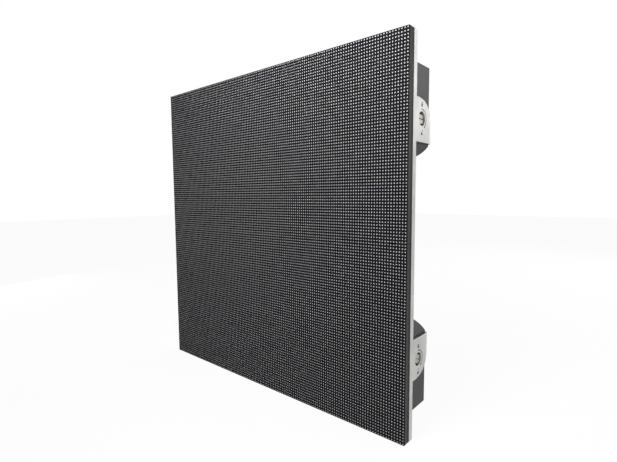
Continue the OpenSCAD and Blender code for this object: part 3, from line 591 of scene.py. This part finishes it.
def tree_with(name, numbers, vectors=("Middle",)):
    """Empty geometry tree with named inputs: (tree, the inputs' sockets, its output node)."""
    tree = bpy.data.node_groups.new(name, "GeometryNodeTree")
    tree.interface.new_socket(name="Geometry", in_out="INPUT", socket_type="NodeSocketGeometry")
    for labels, kind in ((numbers, FLOAT), (vectors, VECTOR)):
        for label in labels:
            tree.interface.new_socket(name=label, in_out="INPUT", socket_type=kind)
    tree.interface.new_socket(name="Geometry", in_out="OUTPUT", socket_type="NodeSocketGeometry")
    return tree, add(tree, "NodeGroupInput").outputs, add(tree, "NodeGroupOutput")


def link_object(name, mesh):
    obj = bpy.data.objects.new(name, mesh)
    bpy.context.scene.collection.objects.link(obj)
    return obj


def grow(name, tree, values, material, start=None):
    """Runs a geometry tree on a new object and keeps the result as a plain mesh."""
    obj = link_object(name, start or bpy.data.meshes.new(name))
    modifier = obj.modifiers.new("grow", "NODES")
    modifier.node_group = tree
    for item in tree.interface.items_tree:
        if item.item_type == "SOCKET" and item.in_out == "INPUT" and item.name in values:
            modifier[item.identifier] = values[item.name]
    depsgraph = bpy.context.evaluated_depsgraph_get()
    mesh = bpy.data.meshes.new_from_object(obj.evaluated_get(depsgraph), depsgraph=depsgraph)
    obj.modifiers.remove(modifier)
    obj.data = mesh
    mesh.name = name
    mesh.materials.clear()
    mesh.materials.append(material)
    mesh.polygons.foreach_set("material_index", [0] * len(mesh.polygons))
    return obj


def finish_tree(tree, out, geometry, material):
    """Ends a tree with real geometry and its material."""
    real = wire(tree, "GeometryNodeRealizeInstances", {0: geometry})
    painted = wire(tree, "GeometryNodeSetMaterial", {"Geometry": real.outputs[0], "Material": material})
    feed(tree, out.inputs[0], painted.outputs[0])


def grid_of(tree, size_x, size_y, columns, rows):
    return wire(tree, "GeometryNodeMeshGrid", {
        "Size X": size_x, "Size Y": size_y, "Vertices X": columns, "Vertices Y": rows,
    }).outputs["Mesh"]


def copied(tree, points, part, **turn):
    """One copy of a part on every point."""
    return wire(tree, "GeometryNodeInstanceOnPoints", {"Points": points, "Instance": part, **turn}).outputs[0]


def joined(tree, *parts):
    node = add(tree, "GeometryNodeJoinGeometry")
    for part in parts:
        feed(tree, node.inputs[0], part)
    return node.outputs[0]


def placed(tree, geometry, middle, tilt=0):
    """Tilts geometry about X by that many degrees and moves its origin to a place."""
    return wire(tree, "GeometryNodeTransform", {
        "Geometry": geometry, "Translation": middle, "Rotation": (math.radians(tilt), 0, 0),
    }).outputs[0]


def shifted(tree, geometry, along):
    """Moves geometry along Z."""
    return placed(tree, geometry, vector_of(tree, Z=along))


def extruded(tree, mesh, selection, distance, scale=None):
    """Extrudes the chosen faces and may scale them: (mesh, the new faces)."""
    step = wire(tree, "GeometryNodeExtrudeMesh", {
        "Mesh": mesh, "Selection": selection, "Offset Scale": distance,
    }, mode="FACES")
    shape, top = step.outputs["Mesh"], step.outputs["Top"]
    if scale is not None:
        inputs = {"Geometry": shape, "Selection": top, "Scale": scale}
        shape = wire(tree, "GeometryNodeScaleElements", inputs, domain="FACE").outputs[0]
    return shape, top


def clamp_plan(tree, geometry, limit):
    """Pulls points beyond a square of that half width back onto its border."""
    point = add(tree, "GeometryNodeInputPosition").outputs[0]
    for operation, sign in (("MINIMUM", 1.0), ("MAXIMUM", -1.0)):
        edge = calc(tree, "MULTIPLY", limit, sign)
        point = vector_calc(tree, operation, point, vector_of(tree, X=edge, Y=edge, Z=sign))
    return wire(tree, "GeometryNodeSetPosition", {"Geometry": geometry, "Position": point}).outputs[0]


def pierced_grid(tree, given, limit, depth=None):
    """Square grid whose cells each hold a window, with walls of that depth behind it if one is given."""
    whole = calc(tree, "MULTIPLY", given["Count"], given["Pitch"])
    edges = calc(tree, "ADD", given["Count"], 1.0)
    share = calc(tree, "DIVIDE", given["Window"], given["Pitch"])
    shape, top = extruded(tree, grid_of(tree, whole, whole, edges, edges), True, 0.0, share)
    if depth is not None:
        shape, top = extruded(tree, shape, top, calc(tree, "MULTIPLY", depth, -1.0))
    opened = wire(tree, "GeometryNodeDeleteGeometry", {"Geometry": shape, "Selection": top}, domain="FACE")
    return clamp_plan(tree, opened.outputs[0], limit)


def mask_tree():
    """Mask plate: front with its windows, their walls, and the back of the plate."""
    tree, given, out = tree_with(
        "mask windows", ("Count", "Pitch", "Window", "Depth", "Front Limit", "Back Limit"),
    )
    front = pierced_grid(tree, given, given["Front Limit"], given["Depth"])
    back = pierced_grid(tree, given, given["Back Limit"])
    back = wire(tree, "GeometryNodeFlipFaces", {0: back}).outputs[0]
    both = joined(tree, front, shifted(tree, back, calc(tree, "MULTIPLY", given["Depth"], -1.0)))
    merged = wire(tree, "GeometryNodeMergeByDistance", {0: both, "Distance": MERGE})
    finish_tree(tree, out, placed(tree, merged.outputs[0], given["Middle"], 90), MASK)
    return tree


def lamp_tree():
    """Lamps on a square grid: each a body with a shallow cup in its face."""
    tree, given, out = tree_with("lamp grid", ("Count", "Pitch", "Side", "Height", "Cup", "Rim"))
    size = vector_of(tree, X=given["Side"], Y=given["Side"], Z=given["Height"])
    cube = wire(tree, "GeometryNodeMeshCube", {"Size": size})
    facing = axes_of(tree, add(tree, "GeometryNodeInputNormal").outputs[0])["Z"]
    front = calc(tree, "GREATER_THAN", facing, 0.5)
    shape, top = extruded(tree, cube.outputs["Mesh"], front, 0.0, given["Rim"])
    shape, top = extruded(tree, shape, top, calc(tree, "MULTIPLY", given["Cup"], -1.0))
    across = calc(tree, "MULTIPLY", calc(tree, "SUBTRACT", given["Count"], 1.0), given["Pitch"])
    lamps = copied(tree, grid_of(tree, across, across, given["Count"], given["Count"]), shape)
    finish_tree(tree, out, placed(tree, lamps, given["Middle"], 90), LAMP)
    return tree


# Meshes made from given points

def mesh_of(name, verts, faces, material):
    mesh = bpy.data.meshes.new(name)
    mesh.from_pydata([tuple(v) for v in verts], [], faces)
    mesh.materials.append(material)
    return link_object(name, mesh)


def tidy_mesh(obj, distance=MERGE):
    """Merges doubles and turns the faces outwards."""
    work = bmesh.new()
    work.from_mesh(obj.data)
    bmesh.ops.remove_doubles(work, verts=work.verts, dist=distance)
    bmesh.ops.recalc_face_normals(work, faces=work.faces)
    work.to_mesh(obj.data)
    work.free()


def join_meshes(name, objects):
    """Puts several objects at the origin into one mesh."""
    work = bmesh.new()
    materials = []
    for obj in objects:
        offset = len(work.faces)
        work.from_mesh(obj.data)
        work.faces.ensure_lookup_table()
        for slot in obj.data.materials:
            if slot not in materials:
                materials.append(slot)
        index = materials.index(obj.data.materials[0])
        for face in work.faces[offset:]:
            face.material_index = index
    mesh = bpy.data.meshes.new(name)
    work.to_mesh(mesh)
    work.free()
    for slot in materials:
        mesh.materials.append(slot)
    for obj in objects:
        bpy.data.objects.remove(obj)
    return link_object(name, mesh)


def skirt_ring(name, middle):
    """Side of a mask: from its bevelled front edge round the skirt to the back of the plate."""
    ticks = [-HALF + i * PITCH for i in range(LAMPS + 1)]
    border = [(t, -HALF) for t in ticks[:-1]]
    border += [(HALF, t) for t in ticks[:-1]]
    border += [(-t, HALF) for t in ticks[:-1]]
    border += [(-HALF, -t) for t in ticks[:-1]]
    profile = [
        (MASK_EDGE, 0.0), (0.0, MASK_EDGE), (0.0, SKIRT),
        (SKIRT_T, SKIRT), (SKIRT_T, PLATE), (BACK_INSET, PLATE),
    ]
    verts = []
    for inset, depth in profile:
        limit = MODULE / 2 - inset
        for x, z in border:
            verts.append((
                middle.x + max(-limit, min(limit, x)),
                FACE_Y + depth,
                middle.z + max(-limit, min(limit, z)),
            ))
    count = len(border)
    faces = []
    for row in range(len(profile) - 1):
        for i in range(count):
            j = (i + 1) % count
            faces.append((row * count + i, row * count + j, (row + 1) * count + j, (row + 1) * count + i))
    return mesh_of(name, verts, faces, MASK)


def drill_access(obj, middle):
    """Opens the four access holes of a mask at crossings between lamps."""
    work = bmesh.new()
    work.from_mesh(obj.data)
    reach_x = HALF - ACCESS_COL * PITCH
    reach_z = HALF - ACCESS_ROW * PITCH
    depth = Vector((0, PLATE, 0))
    for x, z in CORNERS.values():
        spot = Vector((middle.x + x * reach_x, FACE_Y, middle.z + z * reach_z))
        rims = []
        for place in (spot, spot + depth):
            near = [v for v in work.verts if (v.co - place).length < 0.01 * MM]
            cut = bmesh.ops.bevel(work, geom=near, offset=ACCESS_R, affect="VERTICES", segments=1)
            hole = max(cut["faces"], key=lambda f: len(f.verts))
            rims.append(list(hole.edges))
            bmesh.ops.delete(work, geom=[hole], context="FACES_ONLY")
        bmesh.ops.bridge_loops(work, edges=rims[0] + rims[1])
    work.to_mesh(obj.data)
    work.free()


def make_masks():
    """Four masks with all their windows, which stand for the plain CAD masks."""
    tree = mask_tree()
    for corner, (sx, sz) in CORNERS.items():
        middle = Vector((sx * HALF, FACE_Y, MID_Z + sz * HALF))
        name = "mask_face_" + corner
        plate = grow(name + "_plate", tree, {
            "Count": float(LAMPS), "Pitch": PITCH, "Window": WINDOW, "Depth": PLATE,
            "Front Limit": MODULE / 2 - MASK_EDGE, "Back Limit": MODULE / 2 - BACK_INSET, "Middle": middle,
        }, MASK)
        mask = join_meshes(name, [plate, skirt_ring(name + "_skirt", middle)])
        tidy_mesh(mask)
        drill_access(mask, middle)
        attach(mask, "tile")
        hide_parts("mask_" + corner)


def make_lamps():
    """All lamps of each module."""
    tree = lamp_tree()
    height = PLATE - LAMP_TOP
    for corner, (sx, sz) in CORNERS.items():
        middle = Vector((sx * HALF, BOARD_Y - height / 2, MID_Z + sz * HALF))
        lamps = grow("lamps_" + corner, tree, {
            "Count": float(LAMPS), "Pitch": PITCH, "Side": LAMP_SIDE, "Height": height,
            "Cup": CUP_DEEP, "Rim": CUP_SHARE, "Middle": middle,
        }, LAMP)
        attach(lamps, "tile")


# Screws, grip and the parts on the boards

def solids_of(name):
    """Lowest and highest corner of each solid of a CAD node."""
    work = bmesh.new()
    work.from_mesh(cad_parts[name].data)
    bmesh.ops.remove_doubles(work, verts=work.verts, dist=0.002 * MM)
    unseen = set(work.verts)
    boxes = []
    while unseen:
        stack = [unseen.pop()]
        low = stack[0].co.copy()
        high = low.copy()
        while stack:
            vert = stack.pop()
            low = Vector(map(min, low, vert.co))
            high = Vector(map(max, high, vert.co))
            for edge in vert.link_edges:
                other = edge.other_vert(vert)
                if other in unseen:
                    unseen.remove(other)
                    stack.append(other)
        boxes.append((low, high))
    work.free()
    return sorted(boxes, key=lambda box: tuple(round(v, 5) for v in box[0]))


def cylinder(tree, sides, radius, depth):
    return wire(tree, "GeometryNodeMeshCylinder", {
        "Vertices": sides, "Radius": radius, "Depth": depth,
    }, fill_type="NGON").outputs


def hexagonal(tree, mesh, selection):
    """Pulls a circle of points about the Z axis onto a hexagon."""
    position = add(tree, "GeometryNodeInputPosition").outputs[0]
    flat = axes_of(tree, position)
    angle = calc(tree, "FLOORED_MODULO", calc(tree, "ARCTAN2", flat["Y"], flat["X"]), SIXTH)
    bend = calc(tree, "COSINE", calc(tree, "SUBTRACT", angle, SIXTH / 2))
    share = calc(tree, "DIVIDE", math.cos(SIXTH / 2), bend)
    moved = vector_calc(tree, "MULTIPLY", position, vector_of(tree, X=share, Y=share, Z=1.0))
    return wire(tree, "GeometryNodeSetPosition", {
        "Geometry": mesh, "Selection": selection, "Position": moved,
    }).outputs[0]


def screw_tree():
    """Screws on points: a crowned head with a hexagon socket, over a plain shank."""
    tree, given, out = tree_with("screws", ("Head", "Height", "Key", "Shank", "Length"), ("Turn",))
    lower = calc(tree, "MULTIPLY", given["Height"], 0.7)
    disc = cylinder(tree, 24, given["Head"], lower)
    rise = calc(tree, "SUBTRACT", given["Height"], lower)
    mesh, top = extruded(tree, disc["Mesh"], disc["Top"], rise, CROWN)
    inner = calc(tree, "DIVIDE", given["Key"], calc(tree, "MULTIPLY", given["Head"], CROWN))
    mesh, top = extruded(tree, mesh, top, 0.0, inner)
    pit = calc(tree, "MULTIPLY", given["Height"], -0.6)
    head, top = extruded(tree, hexagonal(tree, mesh, top), top, pit)
    head = shifted(tree, head, calc(tree, "DIVIDE", lower, 2.0))
    shank = cylinder(tree, 12, given["Shank"], given["Length"])["Mesh"]
    shank = shifted(tree, shank, calc(tree, "DIVIDE", given["Length"], -2.0))
    screws = copied(tree, given["Geometry"], joined(tree, head, shank), Rotation=given["Turn"])
    finish_tree(tree, out, screws, STEEL)
    return tree


# Axis, head height, socket radius and shank radius in millimetres, finish and slot
SCREWS = {
    "cover_screws": ("y", 1.4, 1.35, 1.4, BLACK_STEEL, "black_steel"),
    "handle_screws": ("y", 2.6, 2.0, 2.4, STEEL, "screw_steel"),
    "mask_screws": ("y", 1.6, 1.0, 0.9, BLACK_STEEL, "black_steel"),
    "socket_screws": ("z", 1.5, 1.25, 1.4, BLACK_STEEL, "black_steel"),
}


def make_screws():
    """Screws with sockets in their heads, each where its plain CAD screw is."""
    tree = screw_tree()
    for node, (axis, height, key, shank, material, slot) in SCREWS.items():
        height *= MM
        seats = []
        for low, high in solids_of(node):
            middle = (low + high) / 2
            if axis == "y":
                seats.append((middle.x, high.y - height, middle.z))
                length = high.y - height - low.y
                turn = math.radians(-90)
            else:
                seats.append((middle.x, middle.y, low.z + height))
                length = high.z - low.z - height
                turn = math.radians(180)
        points = bpy.data.meshes.new(node + "_seats")
        points.from_pydata(seats, [], [])
        screws = grow(node + "_turned", tree, {
            "Head": (high.x - low.x) / 2, "Height": height, "Key": key * MM, "Shank": shank * MM,
            "Length": length, "Turn": (turn, 0, 0),
        }, material, points)
        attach(screws, "tile")
        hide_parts(node)


def grip_tree():
    """Closed sleeve with rounded ribs round a straight bar."""
    tree, given, out = tree_with("ribbed sleeve", ("Length", "Bore", "Skin", "Ribs", "Rib Depth"))
    ends = {}
    for label, share in (("Start", -0.5), ("End", 0.5)):
        ends[label] = vector_of(tree, X=calc(tree, "MULTIPLY", given["Length"], share))
    line = wire(tree, "GeometryNodeCurvePrimitiveLine", ends)
    points = calc(tree, "MULTIPLY_ADD", given["Ribs"], 8.0, 1.0)
    cut = wire(tree, "GeometryNodeResampleCurve", {"Curve": line.outputs[0], "Count": points})
    along = add(tree, "GeometryNodeSplineParameter").outputs["Factor"]
    turn = calc(tree, "MULTIPLY", calc(tree, "MULTIPLY", along, given["Ribs"]), math.pi)
    wave = calc(tree, "SQRT", calc(tree, "ABSOLUTE", calc(tree, "SINE", turn)))
    outer = calc(tree, "ADD", given["Bore"], given["Skin"])
    groove = calc(tree, "SUBTRACT", outer, given["Rib Depth"])
    ribbed = calc(tree, "MULTIPLY_ADD", wave, given["Rib Depth"], groove)
    from_end = calc(tree, "MINIMUM", along, calc(tree, "SUBTRACT", 1.0, along))
    shut = calc(tree, "LESS_THAN", from_end, 0.001)
    drop = calc(tree, "MULTIPLY", shut, calc(tree, "SUBTRACT", groove, given["Bore"]))
    sized = wire(tree, "GeometryNodeSetCurveRadius", {
        "Curve": cut.outputs[0], "Radius": calc(tree, "SUBTRACT", ribbed, drop),
    })
    ring = wire(tree, "GeometryNodeCurvePrimitiveCircle", {"Resolution": 32, "Radius": 1.0})
    skin = wire(tree, "GeometryNodeCurveToMesh", {
        "Curve": sized.outputs[0], "Profile Curve": ring.outputs[0], "Fill Caps": True,
        "Scale": add(tree, "GeometryNodeInputRadius").outputs[0],
    })
    finish_tree(tree, out, placed(tree, skin.outputs[0], given["Middle"]), RUBBER)
    return tree


def make_grip():
    """Ribbed grip in place of the plain one on the handle."""
    low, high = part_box("handle_grip")
    skin = 1.5 * MM
    grip = grow("handle_sleeve", grip_tree(), {
        "Length": high.x - low.x, "Bore": (high.y - low.y) / 2 - skin, "Skin": skin,
        "Ribs": 14.0, "Rib Depth": 0.8 * MM, "Middle": (low + high) / 2,
    }, RUBBER)
    tidy_mesh(grip)
    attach(grip, "tile")
    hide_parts("handle_grip")


def block_rows(tree, columns, rows, spread_x, spread_y, size):
    """Rows of small blocks on the plan of one package, standing on the board."""
    cube = wire(tree, "GeometryNodeMeshCube", {"Size": size}).outputs["Mesh"]
    blocks = copied(tree, grid_of(tree, spread_x, spread_y, columns, rows), cube)
    return shifted(tree, blocks, size[2] / 2)


def board_tree(name, rows_of, material):
    """Small parts round every driver chip of one module."""
    tree, given, out = tree_with(name, ("Step X", "Step Z", "Wide", "Long"))
    across = calc(tree, "MULTIPLY", given["Step X"], CHIP_COLUMNS - 1.0)
    up = calc(tree, "MULTIPLY", given["Step Z"], CHIP_ROWS - 1.0)
    parts = copied(tree, grid_of(tree, across, up, CHIP_COLUMNS, CHIP_ROWS), rows_of(tree, given))
    finish_tree(tree, out, placed(tree, parts, given["Middle"], -90), material)
    return tree


def pin_rows(tree, given):
    """Two rows of legs beside a chip."""
    spread = calc(tree, "ADD", given["Wide"], LEG[0] * 0.6)
    return block_rows(tree, 2, 12, spread, calc(tree, "MULTIPLY", given["Long"], 0.9), LEG)


def resistor_rows(tree, given):
    """Two rows of chip resistors above and below a chip."""
    across = calc(tree, "MULTIPLY", given["Wide"], 1.8)
    return block_rows(tree, 5, 2, across, calc(tree, "MULTIPLY", given["Long"], 1.5), RESISTOR)


def make_board_parts():
    """Legs and resistors round the driver chips, seen through the windows of the bases."""
    for name, rows_of, material, slot in (
        ("chip_legs", pin_rows, STEEL, "screw_steel"),
        ("chip_resistors", resistor_rows, CHIP_RESISTOR, "board_black"),
    ):
        tree = board_tree(name, rows_of, material)
        pieces = []
        for corner, (sx, sz) in CORNERS.items():
            middle = Vector((sx * HALF, BOARD_BACK, MID_Z + sz * HALF))
            pieces.append(grow(name + "_" + corner, tree, {
                "Step X": CHIP_STEP_X, "Step Z": CHIP_STEP_Z,
                "Wide": CHIP_WIDE, "Long": CHIP_LONG, "Middle": middle,
            }, material))
        parts = join_meshes(name, pieces)
        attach(parts, "tile")


# Signs on the lugs

def band(points, width):
    """Outline of a line of even width through flat points, as quads."""
    verts, faces = [], []
    for i, here in enumerate(points):
        before = points[max(i - 1, 0)]
        after = points[min(i + 1, len(points) - 1)]
        along = (after - before).normalized()
        side = Vector((-along.y, along.x)) * width / 2
        verts += [here + side, here - side]
        if i:
            n = 2 * i
            faces.append((n - 2, n - 1, n + 1, n))
    return verts, faces


def arc(radius, start, end, steps, middle=(0.0, 0.0)):
    """Points on an arc between two angles in degrees."""
    turn = [math.radians(start + (end - start) * i / steps) for i in range(steps + 1)]
    return [Vector((middle[0] + radius * math.cos(t), middle[1] + radius * math.sin(t))) for t in turn]


def lock_shapes(height, opened):
    """Padlock sign: a body and a bow, which is lifted and moved aside when open."""
    half, foot, top = 2.0, height - 2.2, height + 0.8
    body = [Vector(place) for place in ((-half, foot), (half, foot), (half, top), (-half, top))]
    bow = 1.25
    lift, shift = (1.9, 1.9) if opened else (0.5, 0.0)
    loop = [Vector((shift - bow, top))] + arc(bow, 180, 0, 8, (shift, top + lift))
    if not opened:
        loop.append(Vector((bow, top)))
    return [(body, [(0, 1, 2, 3)]), band(loop, 0.85)]


def sign_shapes():
    """Flat shapes round one latch, in millimetres: first axis to the back, second axis along the edge."""
    turn = arc(ARROW_R, ARROW_FROM, ARROW_TO, 28)
    end = turn[-1]
    along = (end - turn[-2]).normalized()
    side = Vector((-along.y, along.x))
    head = [end + along * 2.8, end + side * 1.6, end - side * 1.6]
    shapes = [band(turn, ARROW_WIDE), (head, [(0, 1, 2)])]
    return shapes + lock_shapes(SHUT_LOCK, False) + lock_shapes(OPEN_LOCK, True)


def make_signs():
    """Arrow and lock signs round each latch, as thin dark sheets on the lugs' faces."""
    places = [("x", z) for z in SIDE_LATCHES] + [("z", x) for x in TOP_LATCHES]
    verts, faces = [], []
    for axis, along in places:
        for outline, polygons in sign_shapes():
            start = len(verts)
            for level in (SIGN_SUNK, SIGN_PROUD):
                for p in outline:
                    y, other = LATCH_Y + p.x * MM, along + p.y * MM
                    verts.append((SIDE_X + level, y, other) if axis == "x" else (other, y, TOP_Z + level))
            count = len(outline)
            sides = set()
            for polygon in polygons:
                faces.append([start + count + i for i in polygon])
                faces.append([start + i for i in reversed(polygon)])
                sides.update(zip(polygon, polygon[1:] + polygon[:1]))
            for a, b in sorted(sides):
                if (b, a) not in sides:
                    faces.append((start + a, start + b, start + count + b, start + count + a))
    signs = mesh_of("latch_signs", verts, faces, SIGN_DARK)
    tidy_mesh(signs, distance=0.0005 * MM)
    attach(signs, "tile")


# Stage

def seen_directly(tree):
    """One for camera, glossy and transmission rays, so that metal shows the same background."""
    path = add(tree, "ShaderNodeLightPath").outputs
    return chained(tree, "MAXIMUM", path["Is Glossy Ray"], path["Is Transmission Ray"], path["Is Camera Ray"])


def make_stage():
    """Pale floor and white world: seen as plain white, while less light comes from them."""
    material, tree, shader = new_finish("studio floor")
    fill(tree, shader, {"Base Color": grey(0.86), "Roughness": 0.9})
    glow = wire(tree, "ShaderNodeEmission", {"Color": grey(1.0), "Strength": 1.06})
    share = calc(tree, "MULTIPLY", seen_directly(tree), 0.88)
    mix = wire(tree, "ShaderNodeMixShader", {0: share, 1: shader.outputs[0], 2: glow.outputs[0]})
    out = next(n for n in tree.nodes if n.type == "OUTPUT_MATERIAL")
    feed(tree, out.inputs[0], mix.outputs[0])
    size = 6.0
    border = [(-size, -size, 0), (size, -size, 0), (size, size, 0), (-size, size, 0)]
    floor = mesh_of("floor", border, [(0, 1, 2, 3)], material)

    world = bpy.data.worlds.new("studio")
    bpy.context.scene.world = world
    world.use_nodes = True
    tree = world.node_tree
    tree.nodes.clear()
    light = wire(tree, "ShaderNodeBackground", {"Color": grey(1.0), "Strength": 0.17})
    white = wire(tree, "ShaderNodeBackground", {"Color": grey(1.0), "Strength": 1.0})
    both = wire(tree, "ShaderNodeMixShader", {
        0: seen_directly(tree), 1: light.outputs[0], 2: white.outputs[0],
    })
    wire(tree, "ShaderNodeOutputWorld", {0: both.outputs[0]})


def area_light(name, place, aim, size, watts):
    lamp = bpy.data.lights.new(name, "AREA")
    lamp.shape = "RECTANGLE"
    lamp.size, lamp.size_y = size
    lamp.energy = watts
    obj = bpy.data.objects.new(name, lamp)
    obj.location = place
    obj.rotation_mode = "QUATERNION"
    obj.rotation_quaternion = (Vector(aim) - Vector(place)).to_track_quat("-Z", "Y")
    bpy.context.scene.collection.objects.link(obj)


def make_lights():
    """Key near the top right of the lit face, soft light from either side, and one behind."""
    area_light("key", (0.17, -0.44, 0.78), (0.22, 0.0, 0.50), (0.22, 0.24), 3.45)
    area_light("side", (2.4, 0.2, 0.06), (0.25, 0.0, 0.10), (2.4, 2.4), 13.0)
    area_light("left", (-1.2, -0.3, 0.10), (-0.25, 0.0, 0.10), (0.9, 0.9), 2.9)
    area_light("rear", (0.5, 1.7, 1.2), (0.0, 0.0, 0.25), (1.6, 1.2), 10.0)


def make_camera():
    """Camera at the place that fits the photograph's lamp grid and face corners."""
    data = bpy.data.cameras.new("camera")
    data.sensor_width = 36.0
    data.lens = 23.854
    camera = bpy.data.objects.new("camera", data)
    right = Vector((0.75798, 0.65224, -0.00736))
    down = Vector((0.04974, -0.06905, -0.99637))
    ahead = Vector((-0.65038, 0.75486, -0.08478))
    turn = Matrix((right, -down, -ahead)).transposed()
    eye = (0.4746, -0.4685, 0.3076)
    camera.matrix_world = Matrix.Translation(eye) @ turn.to_4x4()
    bpy.context.scene.collection.objects.link(camera)
    bpy.context.scene.camera = camera
    data.clip_start = 0.01
    data.clip_end = 50.0


bpy.context.scene.view_settings.view_transform = "Standard"
make_camera()
make_stage()
make_lights()
dress_nodes()
make_masks()
make_lamps()
make_screws()
make_grip()
make_board_parts()
make_signs()
